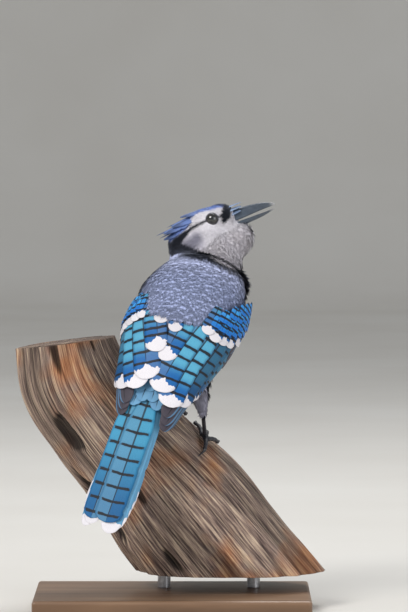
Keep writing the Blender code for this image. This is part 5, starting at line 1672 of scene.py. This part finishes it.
def foot_forms(side_name, side):
    travel, turn = FOOT_PLACES[side_name]
    half = float(smooth_read(LIMB_TRAVEL, [row[2] for row in LIMB_LINE], travel))
    pad = on_limb(travel, turn, PAD_RADIUS + 0.4)
    heel = HEELS[side_name]
    shank = smooth_path((heel + (heel - pad) * 0.05, heel + (pad - heel) * 0.3, heel + (pad - heel) * 0.7,
                         pad), 60)
    places = np.linspace(0.0, 1.0, 60)
    radii = SHANK_RADIUS * (1.0 + 0.45 * step(0.14, 0.0, places) + 0.5 * step(0.82, 1.0, places))
    scutes = radii * (1.0 + 0.07 * np.abs(np.sin(np.pi * 13 * places)))
    forms = [ring_solid(tube_rings(shank, scutes, 16, 0.85))]
    forms.append(ellipsoid(pad, np.eye(3), (PAD_RADIUS,) * 3, 18, 12))
    claws = []
    for name, start, end, reach, claw in TOES:
        t = np.linspace(0.0, 1.0, 34)
        radius = TOE_RADIUS * (1.0 - 0.28 * t)
        along = travel + (start + (end - start) * t) * side
        bend = turn + np.degrees(reach * t / half)
        toe = on_limb(along, bend, radius + 0.35 + 0.9 * np.sin(np.pi * t))
        forms.append(ring_solid(tube_rings(toe, knobbed(radius, 4, 0.16), 14)))
        t = np.linspace(0.0, 1.0, 22)
        bend = turn + np.degrees((abs(reach) + claw * t - 0.8) * math.copysign(1.0, reach) / half)
        lift = 1.5 + 2.0 * np.sin(np.pi * np.minimum(t * 1.1, 1.0)) * (1 - 0.4 * t) - 1.2 * t
        nail = on_limb(travel + end * (1.0 + 0.03 * t) * side, bend, lift)
        claws.append(ring_solid(tube_rings(nail, 1.05 * (1.0 - t) ** 0.8 + 0.10, 12, 0.8)))
    return forms, claws


leg_finish, tree, shader = new_material("leg scales", 0.5, Specular_IOR_Level=0.45)
coords = node(tree, "ShaderNodeTexCoord").outputs["Object"]
cells = node(tree, "ShaderNodeTexVoronoi", {"Vector": coords, "Scale": 900.0}, feature="DISTANCE_TO_EDGE")
scale_edge = ramp(tree, cells.outputs["Distance"], ((0.0, srgb(14, 14, 18)), (0.12, srgb(42, 42, 50)),
                                                    (0.6, srgb(66, 66, 76))))
tree.links.new(scale_edge, shader.inputs["Base Color"])
raised = node(tree, "ShaderNodeBump",
              {"Height": cells.outputs["Distance"], "Strength": 0.6, "Distance": 0.0003})
tree.links.new(raised.outputs["Normal"], shader.inputs["Normal"])
claw_finish, tree, shader = new_material("claw horn", 0.3, Specular_IOR_Level=0.5)
coords = node(tree, "ShaderNodeTexCoord").outputs["Object"]
fine = node(tree, "ShaderNodeTexNoise", {"Vector": coords, "Scale": 600.0, "Detail": 3.0}).outputs["Fac"]
tree.links.new(ramp(tree, fine, ((0.3, srgb(16, 16, 20)), (0.8, srgb(48, 48, 56)))),
               shader.inputs["Base Color"])
for side_name, side in SIDES.items():
    forms, claws = foot_forms(side_name, side)
    scaled = face_outward(new_piece("foot_scales_" + side_name, *joined(forms)))
    scaled.data.materials.append(leg_finish)
    hand_in(scaled, "leg_scales", "foot_" + side_name)
    horn = face_outward(new_piece("claws_" + side_name, *joined(claws)))
    horn.data.materials.append(claw_finish)
    hand_in(horn, "leg_scales")

# %% [markdown]
# ## Driftwood
# Weathered wood is all grain: the soft part of each year ring is washed out and
# leaves long furrows that follow the limb.  The limb is a fine grid on the same
# guide as the solid; the furrows are cut into it as real relief.  The finish
# colours it by place round the limb, and darkens it by depth as a painted shade
# in the furrows and cracks.

# %% Limb
LIMB_TOP = (np.array((-85.0, 0.0, 183.0)), unit(np.array((-0.12, 0.0, 0.99))))
LIMB_FOOT = 24.0
GRAIN_ROWS, GRAIN_COLUMNS = 240, 400


def value_noise(x, y, seed, period=None):
    """Smooth random heights on a grid of whole numbers, read between them."""
    rng = np.random.default_rng(seed)
    table = rng.random((257, 257))
    x0, y0 = np.floor(x).astype(int), np.floor(y).astype(int)
    fx, fy = x - x0, y - y0
    fx, fy = fx * fx * (3 - 2 * fx), fy * fy * (3 - 2 * fy)

    def at(i, j):
        if period:
            i = np.mod(i, period)
        return table[np.mod(i, 257), np.mod(j, 257)]
    low = at(x0, y0) * (1 - fx) + at(x0 + 1, y0) * fx
    high = at(x0, y0 + 1) * (1 - fx) + at(x0 + 1, y0 + 1) * fx
    return (low * (1 - fy) + high * fy) * 2.0 - 1.0


def grain_relief(travel, turn):
    """Depth in millimetres of ridges, furrows and cracks that run with the limb."""
    share = turn / 360.0
    drift = travel * 0.010 + 0.35 * value_noise(share * 6.0, travel / 60.0, 1, 6)
    relief = np.zeros_like(travel)
    for lines, stretch, depth, seed in ((14, 90.0, 1.5, 2), (38, 70.0, 1.1, 3), (90, 50.0, 0.65, 4),
                                        (180, 30.0, 0.4, 5)):
        relief += depth * value_noise((share + 0.02 * drift) * lines, travel / stretch, seed, lines)
    crack = value_noise((share + 0.02 * drift) * 30, travel / 55.0, 6, 30)
    return relief - 3.4 * step(0.55, 0.75, crack)


def limb_piece():
    travel = np.linspace(30.0, LIMB_TRAVEL[-1] - 6.0, GRAIN_ROWS)
    turn = np.linspace(0.0, 360.0, GRAIN_COLUMNS, endpoint=False)
    travel, turn = np.meshgrid(travel, turn, indexing="ij")
    relief = grain_relief(travel, turn)
    points = on_limb(travel, turn, relief - 1.0)
    return points, travel, turn, relief


points, travel, turn, relief = limb_piece()
rows, columns = travel.shape
faces = grid_faces(rows, columns, wrap=True).tolist()
faces.append(list(range(columns))[::-1])
faces.append([(rows - 1) * columns + k for k in range(columns)])
limb = new_piece("driftwood", points.reshape(-1, 3), faces)
hang_values(limb.data, "grain", np.stack((turn / 360.0, travel, relief), -1), "FLOAT_VECTOR")
bm = bmesh.new()
bm.from_mesh(limb.data)
cuts = ((metres(LIMB_TOP[0]), LIMB_TOP[1]), (metres((0.0, 0.0, LIMB_FOOT)), np.array((0.0, 0.0, -1.0))))
for place, way in cuts:
    geometry = bm.verts[:] + bm.edges[:] + bm.faces[:]
    made = bmesh.ops.bisect_plane(bm, geom=geometry, dist=1e-7, plane_co=Vector(place), plane_no=Vector(way),
                                  clear_outer=True)
    bmesh.ops.holes_fill(bm, edges=[e for e in made["geom_cut"] if isinstance(e, bmesh.types.BMEdge)],
                         sides=0)
bmesh.ops.recalc_face_normals(bm, faces=bm.faces)
bm.to_mesh(limb.data)
bm.free()

wood_finish, tree, shader = new_material("driftwood", 0.82, Specular_IOR_Level=0.25)
grain = node(tree, "ShaderNodeSeparateXYZ", {0: attribute(tree, "grain").outputs["Vector"]}).outputs
coords = node(tree, "ShaderNodeTexCoord").outputs["Object"]
stretch = node(tree, "ShaderNodeCombineXYZ", {"X": math_node(tree, "MULTIPLY", grain["X"], 240.0),
                                              "Y": math_node(tree, "MULTIPLY", grain["Y"], 0.03), "Z": 0.0})
streaks = node(tree, "ShaderNodeTexNoise", {"Vector": stretch.outputs[0], "Scale": 1.0, "Detail": 6.0,
                                            "Roughness": 0.65}).outputs["Fac"]
patches = node(tree, "ShaderNodeTexNoise", {"Vector": coords, "Scale": 22.0, "Detail": 3.0}).outputs["Fac"]
wood = ramp(tree, streaks, ((0.34, srgb(52, 42, 40)), (0.44, srgb(112, 94, 88)), (0.53, srgb(160, 138, 124)),
                            (0.66, srgb(218, 196, 170))))
warm = ramp(tree, streaks,
            ((0.30, srgb(84, 48, 30)), (0.50, srgb(170, 104, 56)), (0.72, srgb(222, 170, 104))))
wood = mix(tree, ramp(tree, patches, ((0.50, (0, 0, 0)), (0.66, (0.7, 0.7, 0.7)))), wood, warm)
# Painted shade: the deeper the furrow or crack, the darker the wood's colour, down to 0.14 of it.
hollow = node(tree, "ShaderNodeMapRange",
              {"Value": grain["Z"], "From Min": -2.2, "From Max": 0.6, "To Min": 0.14,
                                           "To Max": 1.0}).outputs["Result"]
shaded = node(tree, "ShaderNodeCombineColor", {k: hollow for k in range(3)}).outputs[0]
tree.links.new(mix(tree, 1.0, wood, shaded, "MULTIPLY"), shader.inputs["Base Color"])
raised = node(tree, "ShaderNodeBump", {"Height": streaks, "Strength": 0.7, "Distance": 0.0012})
tree.links.new(raised.outputs["Normal"], shader.inputs["Normal"])
limb.data.materials.append(wood_finish)
hand_in(limb, "driftwood", "perch")

# %% [markdown]
# ## Stand
# A plain board and two short rods carry the limb.  Their solids already have
# the right shape, so they only get a finish: waxed wood with straight grain,
# and brushed metal.

# %% Stand
board_finish, tree, shader = new_material("stand board", 0.42, Specular_IOR_Level=0.4, Coat_Weight=0.2,
                                          Coat_Roughness=0.3)
coords = node(tree, "ShaderNodeTexCoord").outputs["Object"]
turned = node(tree, "ShaderNodeMapping", {"Vector": coords, "Scale": (3.0, 60.0, 60.0)})
board_grain = node(tree, "ShaderNodeTexNoise", {"Vector": turned.outputs[0], "Scale": 1.5, "Detail": 5.0,
                                                "Distortion": 0.6}).outputs["Fac"]
tree.links.new(ramp(tree, board_grain,
                    ((0.3, srgb(92, 68, 50)), (0.55, srgb(128, 98, 74)), (0.75, srgb(150, 120, 92)))),
               shader.inputs["Base Color"])
raised = node(tree, "ShaderNodeBump", {"Height": board_grain, "Strength": 0.15, "Distance": 0.0005})
tree.links.new(raised.outputs["Normal"], shader.inputs["Normal"])
rod_finish, tree, shader = new_material("stand rod", 0.35, Metallic=1.0)
coords = node(tree, "ShaderNodeTexCoord").outputs["Object"]
brushed = node(tree, "ShaderNodeTexNoise", {"Vector": coords, "Scale": 400.0, "Detail": 3.0}).outputs["Fac"]
tree.links.new(ramp(tree, brushed, ((0.3, srgb(150, 150, 152)), (0.7, srgb(186, 186, 188)))),
               shader.inputs["Base Color"])
for node_name, finish in (("stand_base", board_finish), ("stand_rod_1", rod_finish),
                          ("stand_rod_2", rod_finish)):
    stand_piece = frame["nodes"][node_name]
    stand_piece.data.materials.clear()
    stand_piece.data.materials.append(finish)
print("stand finished")

# %% [markdown]
# ## Floor
# A plain pale sweep stands for a museum table.

# %% Floor
# The wall stands farther out than the camera stands from the bird, so that a
# camera at that distance on any side of the bird looks at its front.
WALL_START = CAMERA_DISTANCE + 1.0


def sweep():
    """A floor that turns up softly into a wall behind the bird."""
    depth_line = [(-WALL_START, 0.0), (WALL_START, 0.0)]
    bend = 0.7
    for k in range(1, 13):
        turn = math.pi / 2 * k / 12
        depth_line.append((WALL_START + bend * math.sin(turn), bend * (1.0 - math.cos(turn))))
    depth_line.append((WALL_START + bend, 4.0))
    half_width = 5.0
    bm = bmesh.new()
    rows = [[bm.verts.new((x, y, z - 0.0004)) for x in (-half_width, half_width)] for y, z in depth_line]
    for a, b in zip(rows, rows[1:]):
        bm.faces.new((a[0], a[1], b[1], b[0]))
    mesh = bpy.data.meshes.new("floor")
    bm.to_mesh(mesh)
    bm.free()
    mesh.shade_smooth()
    floor = bpy.data.objects.new("floor", mesh)
    bpy.context.scene.collection.objects.link(floor)
    return floor


floor = sweep()
floor_finish, tree, shader = new_material("floor", 0.8, Specular_IOR_Level=0.2)
coords = node(tree, "ShaderNodeTexCoord")
mottle = node(tree, "ShaderNodeTexNoise", {"Vector": coords.outputs["Object"], "Scale": 3.0, "Detail": 3.0})
tree.links.new(ramp(tree, mottle.outputs["Fac"], ((0.3, srgb(214, 211, 205)), (0.7, srgb(221, 219, 214)))),
               shader.inputs["Base Color"])
floor.data.materials.append(floor_finish)
